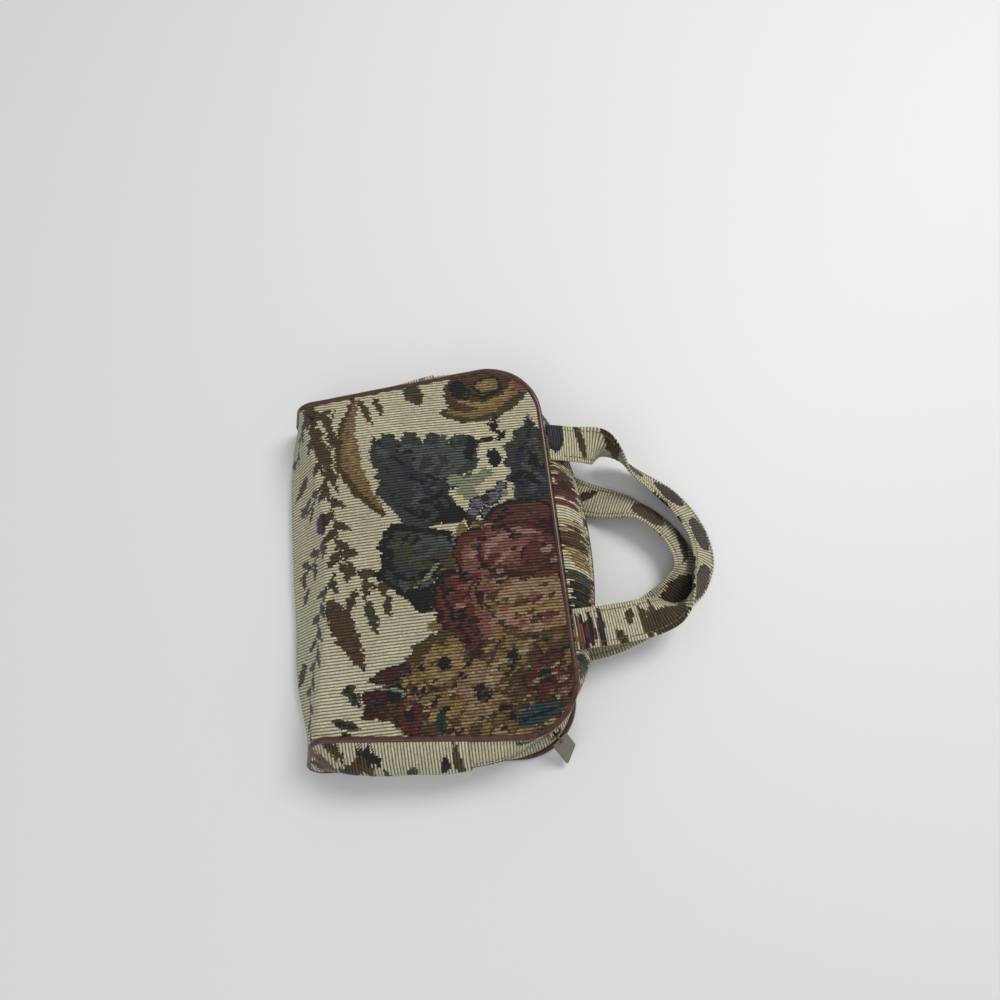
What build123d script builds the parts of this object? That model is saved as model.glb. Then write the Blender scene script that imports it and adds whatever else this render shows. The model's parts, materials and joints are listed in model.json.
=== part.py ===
from build123d import *
from math import cos, sin, radians, sqrt
import os

os.makedirs("parts", exist_ok=True)

# A soft zipped toiletry bag that lies on its back panel.
# X runs from the bag's bottom to its zipped top, Y across its width and Z up.
# The origin is on the table under the middle of the front panel.

# Cloth, piping and seams
cloth = 1.6
piping_radius = 2.2
seam_gap = 0.2

# Heights above the table: back seam, zip and front seam
back_height = piping_radius + 0.1
zip_height = 20.6
front_height = 39.0

# Front panel
panel_length = 157.0
bottom_width = 212.0
top_width = 244.0
corner_radius = 34.0

# The back panel lies flat, further out than the front panel
back_bottom_reach = 11.0
back_near_reach = 17.0
back_near_top_reach = 9.0
back_far_reach = 2.0
back_far_top_reach = 7.0

# The zip line stands out from the front seam
zip_top_reach = 22.0
zip_top_bow = 29.0
zip_near_bottom_reach = 10.0
zip_near_top_reach = 2.0
zip_far_bottom_reach = 1.0
zip_far_top_reach = 5.0
zip_bottom_reach = 15.5
zip_side_bow = 11.0
zip_corner_radius = 84.0
zip_half_face = 5.3
strip_curl = 0.65

# Where the side gussets end and the zip strips begin
gusset_end = 11.0

# Longer than the bag, for cuts that go right through it
past_bag = 2 * top_width

# Bottom fold, crown and sag of the body panel
fold_sag = 12.8
table_bulge = 5.5
table_press = 0.3
crown = 6.5
rim_crown = 0.8
fold_radius = 11.0
middle_fold_radius = 5.0
back_fold_radius = 8.0

# Zip: tapes, teeth and end stops
tape_thickness = 0.8
tape_gap = 0.15
tape_edge = 3.1
tape_hidden = 9.0
tooth_pitch = 3.2
tooth_length = 1.7
tooth_depth = 2.6
tooth_height = 2.4
post_gap = 1.2
stop_length = 2.4

# Zip slider, ring and pull tab
slider_angle = -54.0
slider_length = 12.0
slider_half_width = 4.6
slider_plate = 1.2
slider_clearance = 0.4
post_thickness = 0.7
post_length = 3.0
bail_radius = 0.8
bail_half_length = 4.0
bail_rise = 3.4
ring_wire = 0.65
ring_inner = 3.0
ring_clearance = 0.2
tab_droop = 43.0
tab_width = 11.5
tab_thickness = 1.4
tab_long_side = 24.0
tab_short_side = 16.5
tab_hole_radius = 1.2
tab_hole_margin = 2.3

# Handle straps
strap_width = 25.0
strap_thickness = 2.4
strap_rest_gap = 0.45
strap_steps = 2

# Outlines are the middle of the side wall, each as
# (bottom x, near bottom y, near top y, top x, far top y, far bottom y, top bow, side bow, corner)
half_length = panel_length / 2
front_line = (
    -half_length, -bottom_width / 2, -top_width / 2,
    half_length, top_width / 2, bottom_width / 2,
    0.0, 0.0, corner_radius,
)
back_line = (
    -half_length - back_bottom_reach, -bottom_width / 2 - back_near_reach,
    -top_width / 2 - back_near_top_reach, half_length,
    top_width / 2 - back_far_top_reach, bottom_width / 2 - back_far_reach,
    0.0, 0.0, corner_radius,
)
zip_line = (
    -half_length - zip_bottom_reach, -bottom_width / 2 - zip_near_bottom_reach,
    -top_width / 2 - zip_near_top_reach, half_length + zip_top_reach - zip_top_bow,
    top_width / 2 - zip_far_top_reach, bottom_width / 2 + zip_far_bottom_reach,
    zip_top_bow, zip_side_bow, zip_corner_radius,
)


def outline_at(z):
    """Outline values of the side wall at height z."""
    lift = abs(z - zip_height) - zip_half_face
    if lift <= 0:
        return zip_line
    seam_line = front_line if z > zip_height else back_line
    seam_height = front_height if z > zip_height else back_height
    t = lift / (abs(seam_height - zip_height) - zip_half_face)
    share = (1 - strip_curl) * t + strip_curl * t * t
    return tuple(a + (b - a) * share for a, b in zip(zip_line, seam_line))


def bowed_edge(start, end, bow, side):
    """A straight edge, or an arc whose middle stands out by bow on the given side."""
    if bow < 0.01:
        return Line(start, end)
    run = Vector(*end) - Vector(*start)
    out = Vector(run.Y, -run.X).normalized() * side
    return ThreePointArc(start, (Vector(*start) + Vector(*end)) / 2 + out * bow, end)


def outline_sketch(z, grow):
    """The wall's closed outline at height z, moved outward by grow."""
    bottom, near_bottom, near_top, top, far_top, far_bottom, top_bow, side_bow, corner = outline_at(z)
    corners = [(bottom, near_bottom), (top, near_top), (top, far_top), (bottom, far_bottom)]
    with BuildSketch() as face:
        with BuildLine():
            bowed_edge(corners[0], corners[1], side_bow, 1)
            bowed_edge(corners[1], corners[2], top_bow, 1)
            bowed_edge(corners[2], corners[3], side_bow, 1)
            Line(corners[3], corners[0])
        make_face()
        fillet(face.vertices().sort_by(Axis.X)[-2:], corner)
        offset(amount=grow, kind=Kind.INTERSECTION)
    with BuildSketch() as plain_face:
        with BuildLine():
            for edge in face.wire().edges():
                if edge.geom_type == GeomType.LINE:
                    Line(edge @ 0, edge @ 1)
                else:
                    ThreePointArc(edge @ 0, edge @ 0.5, edge @ 1)
        make_face()
    return plain_face.sketch


def wall_band(heights, outer, inner):
    """The side wall between its lowest and highest section, with the given faces."""
    outside = [Plane.XY.offset(z) * outline_sketch(z, outer) for z in heights]
    inside = [Plane.XY.offset(z) * outline_sketch(z, inner) for z in heights]
    with BuildPart(mode=Mode.PRIVATE) as band:
        loft(outside, ruled=True)
        loft(inside, ruled=True, mode=Mode.SUBTRACT)
    return band.part


def zip_band(heights, outer, inner):
    """A band that follows the zip round the bag's top, cut off square at the gussets."""
    whole_band = wall_band(heights, outer, inner)
    with BuildPart(mode=Mode.PRIVATE) as band:
        add(whole_band)
        with Locations((gusset_end + seam_gap + past_bag / 2, 0, zip_height)):
            Box(past_bag, 2 * past_bag, past_bag, mode=Mode.INTERSECT)
    return band.part


# Piping: one round cord in the seam, round the front, down both ends of the
# bottom and back round the rear panel, where its two ends meet
def seam_point(line, height, end):
    bottom, near_bottom, near_top, top, far_top, far_bottom = line[:6]
    return {
        "near_bottom": (bottom, near_bottom, height),
        "near_top": (top, near_top, height),
        "far_top": (top, far_top, height),
        "far_bottom": (bottom, far_bottom, height),
    }[end]


piping_joint = seam_gap / 2
back_middle = (back_line[2] + back_line[4]) / 2
piping_route = [
    (half_length, back_middle - piping_joint, back_height),
    seam_point(back_line, back_height, "near_top"),
    seam_point(back_line, back_height, "near_bottom"),
    seam_point(front_line, front_height, "near_bottom"),
    seam_point(front_line, front_height, "near_top"),
    seam_point(front_line, front_height, "far_top"),
    seam_point(front_line, front_height, "far_bottom"),
    seam_point(back_line, back_height, "far_bottom"),
    seam_point(back_line, back_height, "far_top"),
    (half_length, back_middle + piping_joint, back_height),
]
piping_bends = [
    corner_radius, back_fold_radius, fold_radius, corner_radius,
    corner_radius, fold_radius, back_fold_radius, corner_radius,
]


def piping_tube(radius):
    with BuildPart(mode=Mode.PRIVATE) as tube:
        with BuildLine() as route:
            FilletPolyline(*piping_route, radius=piping_bends)
        with BuildSketch(Plane(origin=route.line @ 0, z_dir=route.line % 0)):
            Circle(radius)
        sweep(path=route.line)
    return tube.part


with BuildPart() as piping:
    add(piping_tube(piping_radius))

seam_room = piping_tube(piping_radius + seam_gap)


# Body panel: front, bottom and back in one piece of cloth, a sheet that turns
# twice and is cut along the seam
def seam_y(line, x, near):
    """Where the straight side of a seam line is at x."""
    bottom, near_bottom, near_top, top, far_top, far_bottom = line[:6]
    start, end = (near_bottom, near_top) if near else (far_bottom, far_top)
    return start + (end - start) * (x - bottom) / (top - bottom)


def seam_sketch(line, z, left):
    """The seam line as a closed outline that runs on past the bottom."""
    with BuildSketch(Plane.XY.offset(z)) as face:
        with BuildLine():
            Polyline(
                (left, seam_y(line, left, True)), (line[3], line[2]),
                (line[3], line[4]), (left, seam_y(line, left, False)), close=True,
            )
        make_face()
        fillet(face.vertices().sort_by(Axis.X)[-2:], line[8])
    return face.sketch


def belly_section(y, inset, stretch):
    """Lengthwise profile of the panel's outside, or of its inside, at y."""
    across = min(1.0, abs(y) / (bottom_width / 2))
    swell = 1 - across * across
    half_cloth = cloth / 2
    fold_x = -half_length - half_cloth + fold_sag * swell
    table_x = -half_length - back_bottom_reach - half_cloth - table_bulge * swell
    rim = front_height + half_cloth
    rise = rim_crown + (crown - rim_crown) * swell
    middle = (fold_x + half_length) / 2
    chord = (half_length - fold_x) / 2
    radius = (chord * chord + rise * rise) / (2 * rise)
    far_x = half_length + corner_radius
    far_z = rim + rise - radius + sqrt(radius ** 2 - (far_x - middle) ** 2)
    soft_fold = fold_radius + (middle_fold_radius - fold_radius) * swell
    with BuildSketch(Plane.XZ.offset(-y * stretch)) as profile:
        with BuildLine():
            Polyline((far_x, far_z), (far_x, -table_press), (table_x, -table_press), (fold_x, rim))
            ThreePointArc((fold_x, rim), (middle, rim + rise), (far_x, far_z))
        make_face()
        fillet(profile.vertices().sort_by_distance((table_x, -table_press, 0))[:1], back_fold_radius)
        fillet(profile.vertices().sort_by_distance((fold_x, rim, 0))[:1], soft_fold)
        if inset > 0:
            offset(amount=-inset, kind=Kind.INTERSECTION)
    return profile.sketch


belly_places = [-150, -bottom_width / 2, -55, 0, 55, bottom_width / 2, 150]
seam_cut_left = -half_length - 60

with BuildPart() as body_panel:
    loft([belly_section(y, 0, 1.0) for y in belly_places])
    loft([belly_section(y, cloth, 1.02) for y in belly_places], mode=Mode.SUBTRACT)
    loft(
        [
            seam_sketch(back_line, 0, seam_cut_left),
            seam_sketch(back_line, back_height, seam_cut_left),
            seam_sketch(front_line, front_height, seam_cut_left),
            seam_sketch(front_line, front_height + 30, seam_cut_left),
        ],
        ruled=True,
        mode=Mode.INTERSECT,
    )
    add(seam_room, mode=Mode.SUBTRACT)


# Side gussets: one strip each side, round at its bottom end and bulging outward
lower_heights = [back_height + (zip_height - zip_half_face - back_height) * k / 3 for k in range(4)]
upper_heights = [front_height - (front_height - zip_height - zip_half_face) * k / 3 for k in range(3, -1, -1)]
whole_wall = wall_band(lower_heights + upper_heights, cloth / 2, -cloth / 2)


def gusset(depth):
    """The wall's side from its round bottom end to the zip strips, as far across as depth."""
    with BuildPart(mode=Mode.PRIVATE) as side:
        with BuildSketch(Plane.XZ) as outline:
            with BuildLine():
                Polyline(
                    (gusset_end - seam_gap, back_height), (back_line[0], back_height),
                    (front_line[0], front_height), (gusset_end - seam_gap, front_height), close=True,
                )
            make_face()
            fillet(outline.vertices().sort_by_distance((back_line[0], back_height, 0))[:1], back_fold_radius)
            fillet(outline.vertices().sort_by_distance((front_line[0], front_height, 0))[:1], fold_radius)
        extrude(amount=depth)
        add(whole_wall, mode=Mode.INTERSECT)
        add(seam_room, mode=Mode.SUBTRACT)
    return side.part


near_side = gusset(past_bag)
far_side = gusset(-past_bag)

with BuildPart() as gusset_near:
    add(near_side)

with BuildPart() as gusset_far:
    add(far_side)

# Zip strips: two bands round the top, from the piping to their folded edge beside the zip
strip_heights = [zip_height + zip_half_face, zip_height + tape_hidden, zip_height + 13.5, front_height]
back_strip_heights = [2 * zip_height - z for z in strip_heights[:3]] + [back_height]

front_band = zip_band(strip_heights, cloth / 2, -cloth / 2)
back_band = zip_band(back_strip_heights, cloth / 2, -cloth / 2)

with BuildPart() as zip_strip_front:
    add(front_band)
    add(seam_room, mode=Mode.SUBTRACT)

with BuildPart() as zip_strip_back:
    add(back_band)
    add(seam_room, mode=Mode.SUBTRACT)

# Zip tapes: woven tapes behind the strips' folded edges
tape_outer = -cloth / 2 - tape_gap
tape_inner = tape_outer - tape_thickness
tape_heights = [zip_height + tape_edge, zip_height + zip_half_face, zip_height + tape_hidden]

back_tape_heights = [2 * zip_height - z for z in tape_heights]
front_tape_band = zip_band(tape_heights, tape_outer, tape_inner)
back_tape_band = zip_band(back_tape_heights, tape_outer, tape_inner)

with BuildPart() as zip_tape_front:
    add(front_tape_band)

with BuildPart() as zip_tape_back:
    add(back_tape_band)

# Zip teeth: two rows along the tapes' edges, half a pitch apart
chain_inset = (tape_outer + tape_inner) / 2
chain_path = outline_sketch(zip_height, chain_inset).wire()
chain_start = gusset_end + seam_gap + stop_length + 1.5


def tooth_places(shift):
    count = round(chain_path.length / tooth_pitch)
    places = []
    for k in range(count):
        along = (k + shift) / count
        point = chain_path @ along
        if point.X > chain_start:
            places.append(Plane(origin=(point.X, point.Y, 0), x_dir=chain_path % along, z_dir=(0, 0, 1)))
    return places


def tooth_row(base, shift):
    with BuildPart(mode=Mode.PRIVATE) as row:
        with BuildSketch(Plane.XY.offset(base)):
            with Locations(*[Location(place) for place in tooth_places(shift)]):
                Rectangle(tooth_length, tooth_depth)
        extrude(amount=tooth_height)
    return row.part


with BuildPart() as zip_teeth_front:
    add(tooth_row(zip_height + post_gap / 2, 0.0))

with BuildPart() as zip_teeth_back:
    add(tooth_row(zip_height - post_gap / 2 - tooth_height, 0.5))

# End stops: a metal bridge across the chain at each end
with BuildPart() as zip_end_stops:
    with BuildSketch(Plane.XY.offset(zip_height - tape_edge + seam_gap)):
        add(outline_sketch(zip_height, chain_inset + tooth_depth / 2))
        add(outline_sketch(zip_height, chain_inset - tooth_depth / 2), mode=Mode.SUBTRACT)
        with Locations((gusset_end + seam_gap + 0.5 + stop_length / 2, 0)):
            Rectangle(stop_length, past_bag, mode=Mode.INTERSECT)
    extrude(amount=2 * (tape_edge - seam_gap))

# Slider: two plates and a post that ride the zip's near corner
zip_arcs = outline_sketch(zip_height, 0).edges().filter_by(GeomType.CIRCLE)
corner_arc = zip_arcs.sort_by(lambda arc: abs(arc.radius - zip_corner_radius))[:2].sort_by(Axis.Y)[0]
pivot = corner_arc.arc_center
angle = radians(slider_angle)
outward = Vector(cos(angle), sin(angle), 0)
along_zip = Vector(sin(angle), -cos(angle), 0)
chain_radius = zip_corner_radius + chain_inset
slider_centre = Vector(pivot.X, pivot.Y, zip_height) + outward * chain_radius
slider_plane = Plane(origin=slider_centre, x_dir=outward, z_dir=along_zip)
channel = tooth_depth / 2 + slider_clearance
slot = tape_thickness / 2 + slider_clearance
plate_face = channel + slider_plate
channel_half_height = tape_edge + seam_gap

with BuildPart() as zip_slider:
    with BuildSketch(slider_plane.offset(-slider_length / 2)):
        RectangleRounded(2 * plate_face, 2 * slider_half_width, 0.9)
        Rectangle(2 * channel, 2 * channel_half_height, mode=Mode.SUBTRACT)
        Rectangle(2 * slot, 3 * slider_half_width, mode=Mode.SUBTRACT)
    extrude(amount=slider_length)
    with BuildSketch(slider_plane.offset(-slider_length / 2)):
        Rectangle(2 * channel + slider_plate, post_thickness)
    extrude(amount=post_length)
    bail_plane = Plane(origin=slider_centre, x_dir=outward, z_dir=(0, 0, 1))
    with BuildLine(bail_plane) as bail_route:
        FilletPolyline(
            (plate_face - 0.4, -bail_half_length), (plate_face + bail_rise, -bail_half_length),
            (plate_face + bail_rise, bail_half_length), (plate_face - 0.4, bail_half_length),
            radius=1.2,
        )
    with BuildSketch(Plane(origin=bail_route.line @ 0, z_dir=bail_route.line % 0)):
        Circle(bail_radius)
    sweep(path=bail_route.line)

# Ring through the slider's bail
bail_centre = slider_centre + outward * (plate_face + bail_rise)
droop = radians(tab_droop)
hang = outward * cos(droop) + Vector(0, 0, -sin(droop))
ring_reach = ring_inner - bail_radius - ring_clearance
ring_centre = bail_centre + hang * ring_reach

with BuildPart() as pull_ring:
    with BuildLine(Plane(origin=ring_centre, x_dir=outward, z_dir=along_zip)) as ring_path:
        CenterArc((0, 0), ring_inner + ring_wire, 0, 360)
    with BuildSketch(Plane(origin=ring_path.line @ 0, z_dir=ring_path.line % 0)) as wire_face:
        Circle(ring_wire)
    sweep(sections=wire_face.sketch, path=ring_path.line)

# Pull tab: a flat tab with an eyelet hole and a slanting end
hole_reach = ring_reach + ring_inner + ring_wire
tab_start = hole_reach - tab_hole_margin
tab_plane = Plane(origin=bail_centre, x_dir=along_zip, z_dir=along_zip.cross(hang))

with BuildPart() as pull_tab:
    with BuildSketch(tab_plane.offset(-tab_thickness / 2)):
        with BuildLine():
            Polyline(
                (tab_width / 2, tab_start), (tab_width / 2, tab_long_side),
                (-tab_width / 2, tab_short_side), (-tab_width / 2, tab_start), close=True,
            )
        make_face()
        with Locations((0, hole_reach)):
            Circle(tab_hole_radius, mode=Mode.SUBTRACT)
    extrude(amount=tab_thickness)


# Handles: flat straps that lie and turn over as the cloth falls
def rest_height(roll):
    """Height of a strap's middle line when its lower edge rests on the table."""
    turn = radians(roll)
    lean = strap_width / 2 * abs(sin(turn)) + strap_thickness / 2 * abs(cos(turn))
    return lean + strap_rest_gap


def strap(route):
    """A flat strap along (x past the top seam, y, z or None, roll) stations, in short ruled lengths."""
    points = []
    for x, y, z, roll in route:
        points.append(Vector(half_length + x, y, rest_height(roll) if z is None else z))
    start_slope = (points[1].Z - points[0].Z) / (points[1].X - points[0].X)
    end_slope = (points[-2].Z - points[-1].Z) / (points[-2].X - points[-1].X)
    middle_line = Spline(*points, tangents=((1, 0, start_slope), (-1, 0, -end_slope)))
    places = [middle_line.param_at_point(point) for point in points]
    rails = [[], [], [], []]
    for k in range(len(route) - 1):
        for part in range(strap_steps):
            share = part / strap_steps
            place = places[k] + (places[k + 1] - places[k]) * share
            roll = route[k][3] + (route[k + 1][3] - route[k][3]) * share
            add_strap_corners(rails, middle_line, place, roll)
    add_strap_corners(rails, middle_line, 1.0, route[-1][3])
    faces = [Face(Wire.make_polygon([rail[end] for rail in rails], close=True)) for end in (0, -1)]
    for side in range(4):
        rail, next_rail = rails[side], rails[(side + 1) % 4]
        for k in range(len(rail) - 1):
            start = Edge.make_line(rail[k], next_rail[k])
            end = Edge.make_line(rail[k + 1], next_rail[k + 1])
            faces.append(Face.make_surface_from_curves(start, end))
    return Solid(Shell(faces))


def add_strap_corners(rails, middle_line, place, roll):
    """Add the strap's four corners at a place on its middle line to the rails."""
    point = middle_line @ place
    along = middle_line % place
    level_out = Vector(-along.Y, along.X, 0).normalized()
    upright = along.cross(level_out)
    turn = radians(roll)
    across = level_out * cos(turn) + upright * sin(turn)
    face_out = along.cross(across)
    for rail, (side, face) in zip(rails, ((1, 1), (-1, 1), (-1, -1), (1, -1))):
        rail.append(point + across * side * strap_width / 2 + face_out * face * strap_thickness / 2)


seat = front_height
front_route = [
    (3.0, 62.5, seat + 0.4, 0), (11.5, 62.3, seat - 3.0, 0), (22, 61.5, 32.6, 0),
    (34, 60.5, 29.0, 20), (43.5, 58.0, 25.5, 80), (57, 47, 17.5, 120), (81, 27, None, 135),
    (95.5, 2, None, 135), (97.5, -20, None, 135), (90, -36, 12.5, 128), (80, -46.5, 17.0, 95),
    (66, -52.5, 21.0, 30), (50, -56, 25.5, 0), (34, -58, 29.8, 0), (21, -59, 33.2, 0),
    (11.5, -59.5, seat - 2.8, 0), (3.0, -60, seat + 0.4, 0),
]
back_route = [
    (3.0, 43, None, 0), (13.5, 40, None, 0), (25, 33.5, None, -4), (42, 26, None, -20),
    (60, 18, None, -48), (74, 5.5, None, -48), (82.5, -9, None, -46), (84.5, -25, None, -42),
    (77, -38.5, None, -20), (64, -48, None, -3), (47, -56, None, 0), (25, -62.5, None, 0),
    (13.5, -64, None, 0), (3.0, -64.5, None, 0),
]

with BuildPart() as handle_front:
    add(strap(front_route))

with BuildPart() as handle_back:
    add(strap(back_route))

print("slider pivot", pivot, "rest angle", slider_angle, "chain radius", chain_radius)
print("bail centre", bail_centre, "swing axis", along_zip)

piping.part.label = "piping"
export_step(piping.part, "parts/piping.step")
body_panel.part.label = "body_panel"
export_step(body_panel.part, "parts/body_panel.step")
gusset_near.part.label = "gusset_near"
export_step(gusset_near.part, "parts/gusset_near.step")
gusset_far.part.label = "gusset_far"
export_step(gusset_far.part, "parts/gusset_far.step")
zip_strip_front.part.label = "zip_strip_front"
export_step(zip_strip_front.part, "parts/zip_strip_front.step")
zip_strip_back.part.label = "zip_strip_back"
export_step(zip_strip_back.part, "parts/zip_strip_back.step")
zip_tape_front.part.label = "zip_tape_front"
export_step(zip_tape_front.part, "parts/zip_tape_front.step")
zip_tape_back.part.label = "zip_tape_back"
export_step(zip_tape_back.part, "parts/zip_tape_back.step")
zip_teeth_front.part.label = "zip_teeth_front"
export_step(zip_teeth_front.part, "parts/zip_teeth_front.step")
zip_teeth_back.part.label = "zip_teeth_back"
export_step(zip_teeth_back.part, "parts/zip_teeth_back.step")
zip_end_stops.part.label = "zip_end_stops"
export_step(zip_end_stops.part, "parts/zip_end_stops.step")
zip_slider.part.label = "zip_slider"
export_step(zip_slider.part, "parts/zip_slider.step")
pull_ring.part.label = "pull_ring"
export_step(pull_ring.part, "parts/pull_ring.step")
pull_tab.part.label = "pull_tab"
export_step(pull_tab.part, "parts/pull_tab.step")
handle_front.part.label = "handle_front"
export_step(handle_front.part, "parts/handle_front.step")
handle_back.part.label = "handle_back"
export_step(handle_back.part, "parts/handle_back.step")
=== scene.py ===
import json
import math

import bpy
import numpy as np
from mathutils import Matrix, Vector

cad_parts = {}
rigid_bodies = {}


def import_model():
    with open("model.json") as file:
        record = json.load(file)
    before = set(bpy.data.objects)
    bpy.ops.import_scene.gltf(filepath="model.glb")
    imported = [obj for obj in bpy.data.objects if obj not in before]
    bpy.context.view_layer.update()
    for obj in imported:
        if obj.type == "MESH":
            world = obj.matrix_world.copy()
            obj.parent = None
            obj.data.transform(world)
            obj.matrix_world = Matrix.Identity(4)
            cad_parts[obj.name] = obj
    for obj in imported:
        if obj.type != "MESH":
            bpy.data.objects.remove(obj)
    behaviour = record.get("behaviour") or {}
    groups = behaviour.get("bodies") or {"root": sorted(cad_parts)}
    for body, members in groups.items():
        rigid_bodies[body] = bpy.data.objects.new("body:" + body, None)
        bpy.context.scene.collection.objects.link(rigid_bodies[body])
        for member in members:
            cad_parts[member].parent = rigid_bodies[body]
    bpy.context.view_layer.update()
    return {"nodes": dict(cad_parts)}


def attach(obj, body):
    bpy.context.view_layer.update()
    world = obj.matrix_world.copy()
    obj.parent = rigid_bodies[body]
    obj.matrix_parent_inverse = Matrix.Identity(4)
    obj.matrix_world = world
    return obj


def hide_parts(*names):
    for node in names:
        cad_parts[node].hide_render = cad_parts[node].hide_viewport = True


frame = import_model()

# Lengths in this script are in millimetres, as in the part's source. Blender gets metres.
MM = 0.001

# Wall outlines at the front seam, the back seam and the zip, each as (bottom x, near bottom y,
# near top y, top x, far top y, far bottom y, top bow, side bow, corner radius)
HALF_LENGTH = 78.5
FRONT_LINE = np.array([-HALF_LENGTH, -106, -122, HALF_LENGTH, 122, 106, 0.02, 0.02, 34])
BACK_LINE = np.array([-89.5, -123, -131, HALF_LENGTH, 115, 104, 0.02, 0.02, 34])
ZIP_LINE = np.array([-94, -116, -124, 71.5, 117, 107, 29, 11, 84])
BACK_HEIGHT, ZIP_HEIGHT, FRONT_HEIGHT = 2.3, 20.6, 39.0
ZIP_HALF_FACE = 5.3
STRIP_CURL = 0.65
GUSSET_END = 11.0
CLOTH = 1.6
PIPING_RADIUS = 2.2

# Profile of the panel that makes the front, the bottom and the back
FOLD_SAG, TABLE_BULGE = 12.8, 10.0
CROWN, RIM_CROWN = 6.5, 0.8
FOLD_RADIUS, MIDDLE_FOLD_RADIUS, BACK_FOLD_RADIUS = 11.0, 2.6, 8.0
TABLE_FOLD_RADIUS = 5.0

# Weave: spacing of the ribs and of the threads across them, size of a colour cell along a rib,
# how far rows of cells are out of step and the length of a streak of lighter or darker thread
RIB_PITCH, THREAD_PITCH = 1.85, 0.62
CELL = 0.7
ROW_JITTER = 1.3
STREAK = 2.8
# The cloth's own coordinates are stored in units of this many millimetres
CLOTH_UNIT = 100.0

STRAP_WIDTH, STRAP_THICKNESS = 25.0, 2.4
STRAP_REST_GAP = 0.45


def linear(code):
    """Linear colour of a six-digit sRGB code."""
    parts = [int(code[k : k + 2], 16) / 255 for k in (0, 2, 4)]
    return np.array([c / 12.92 if c < 0.04045 else ((c + 0.055) / 1.055) ** 2.4 for c in parts])


# Thread colours of the tapestry
CREAM = linear("C9C1A1")
SAND = linear("A0946F")
OLIVE = linear("4C3F28")
DEEP_TEAL = linear("2E3F43")
DEEP_GREEN = linear("2E3B39")
BROWN = linear("513C24")
DARK = linear("1A1C19")
TEAL = linear("373E39")
GREY_TEAL = linear("4B524E")
NAVY = linear("31333D")
MOSS = linear("404232")
PALE_GREEN = linear("888B73")
LILAC = linear("6C6970")
CRIMSON = linear("5D302A")
ROSE = linear("7E5145")
PINK = linear("99776A")
PEACH = linear("9A7E61")
DARK_RED = linear("3B1F1C")
BURGUNDY = linear("462422")
MUSTARD = linear("7A5E33")
GOLD = linear("997F52")
TAN = linear("846A46")


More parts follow.
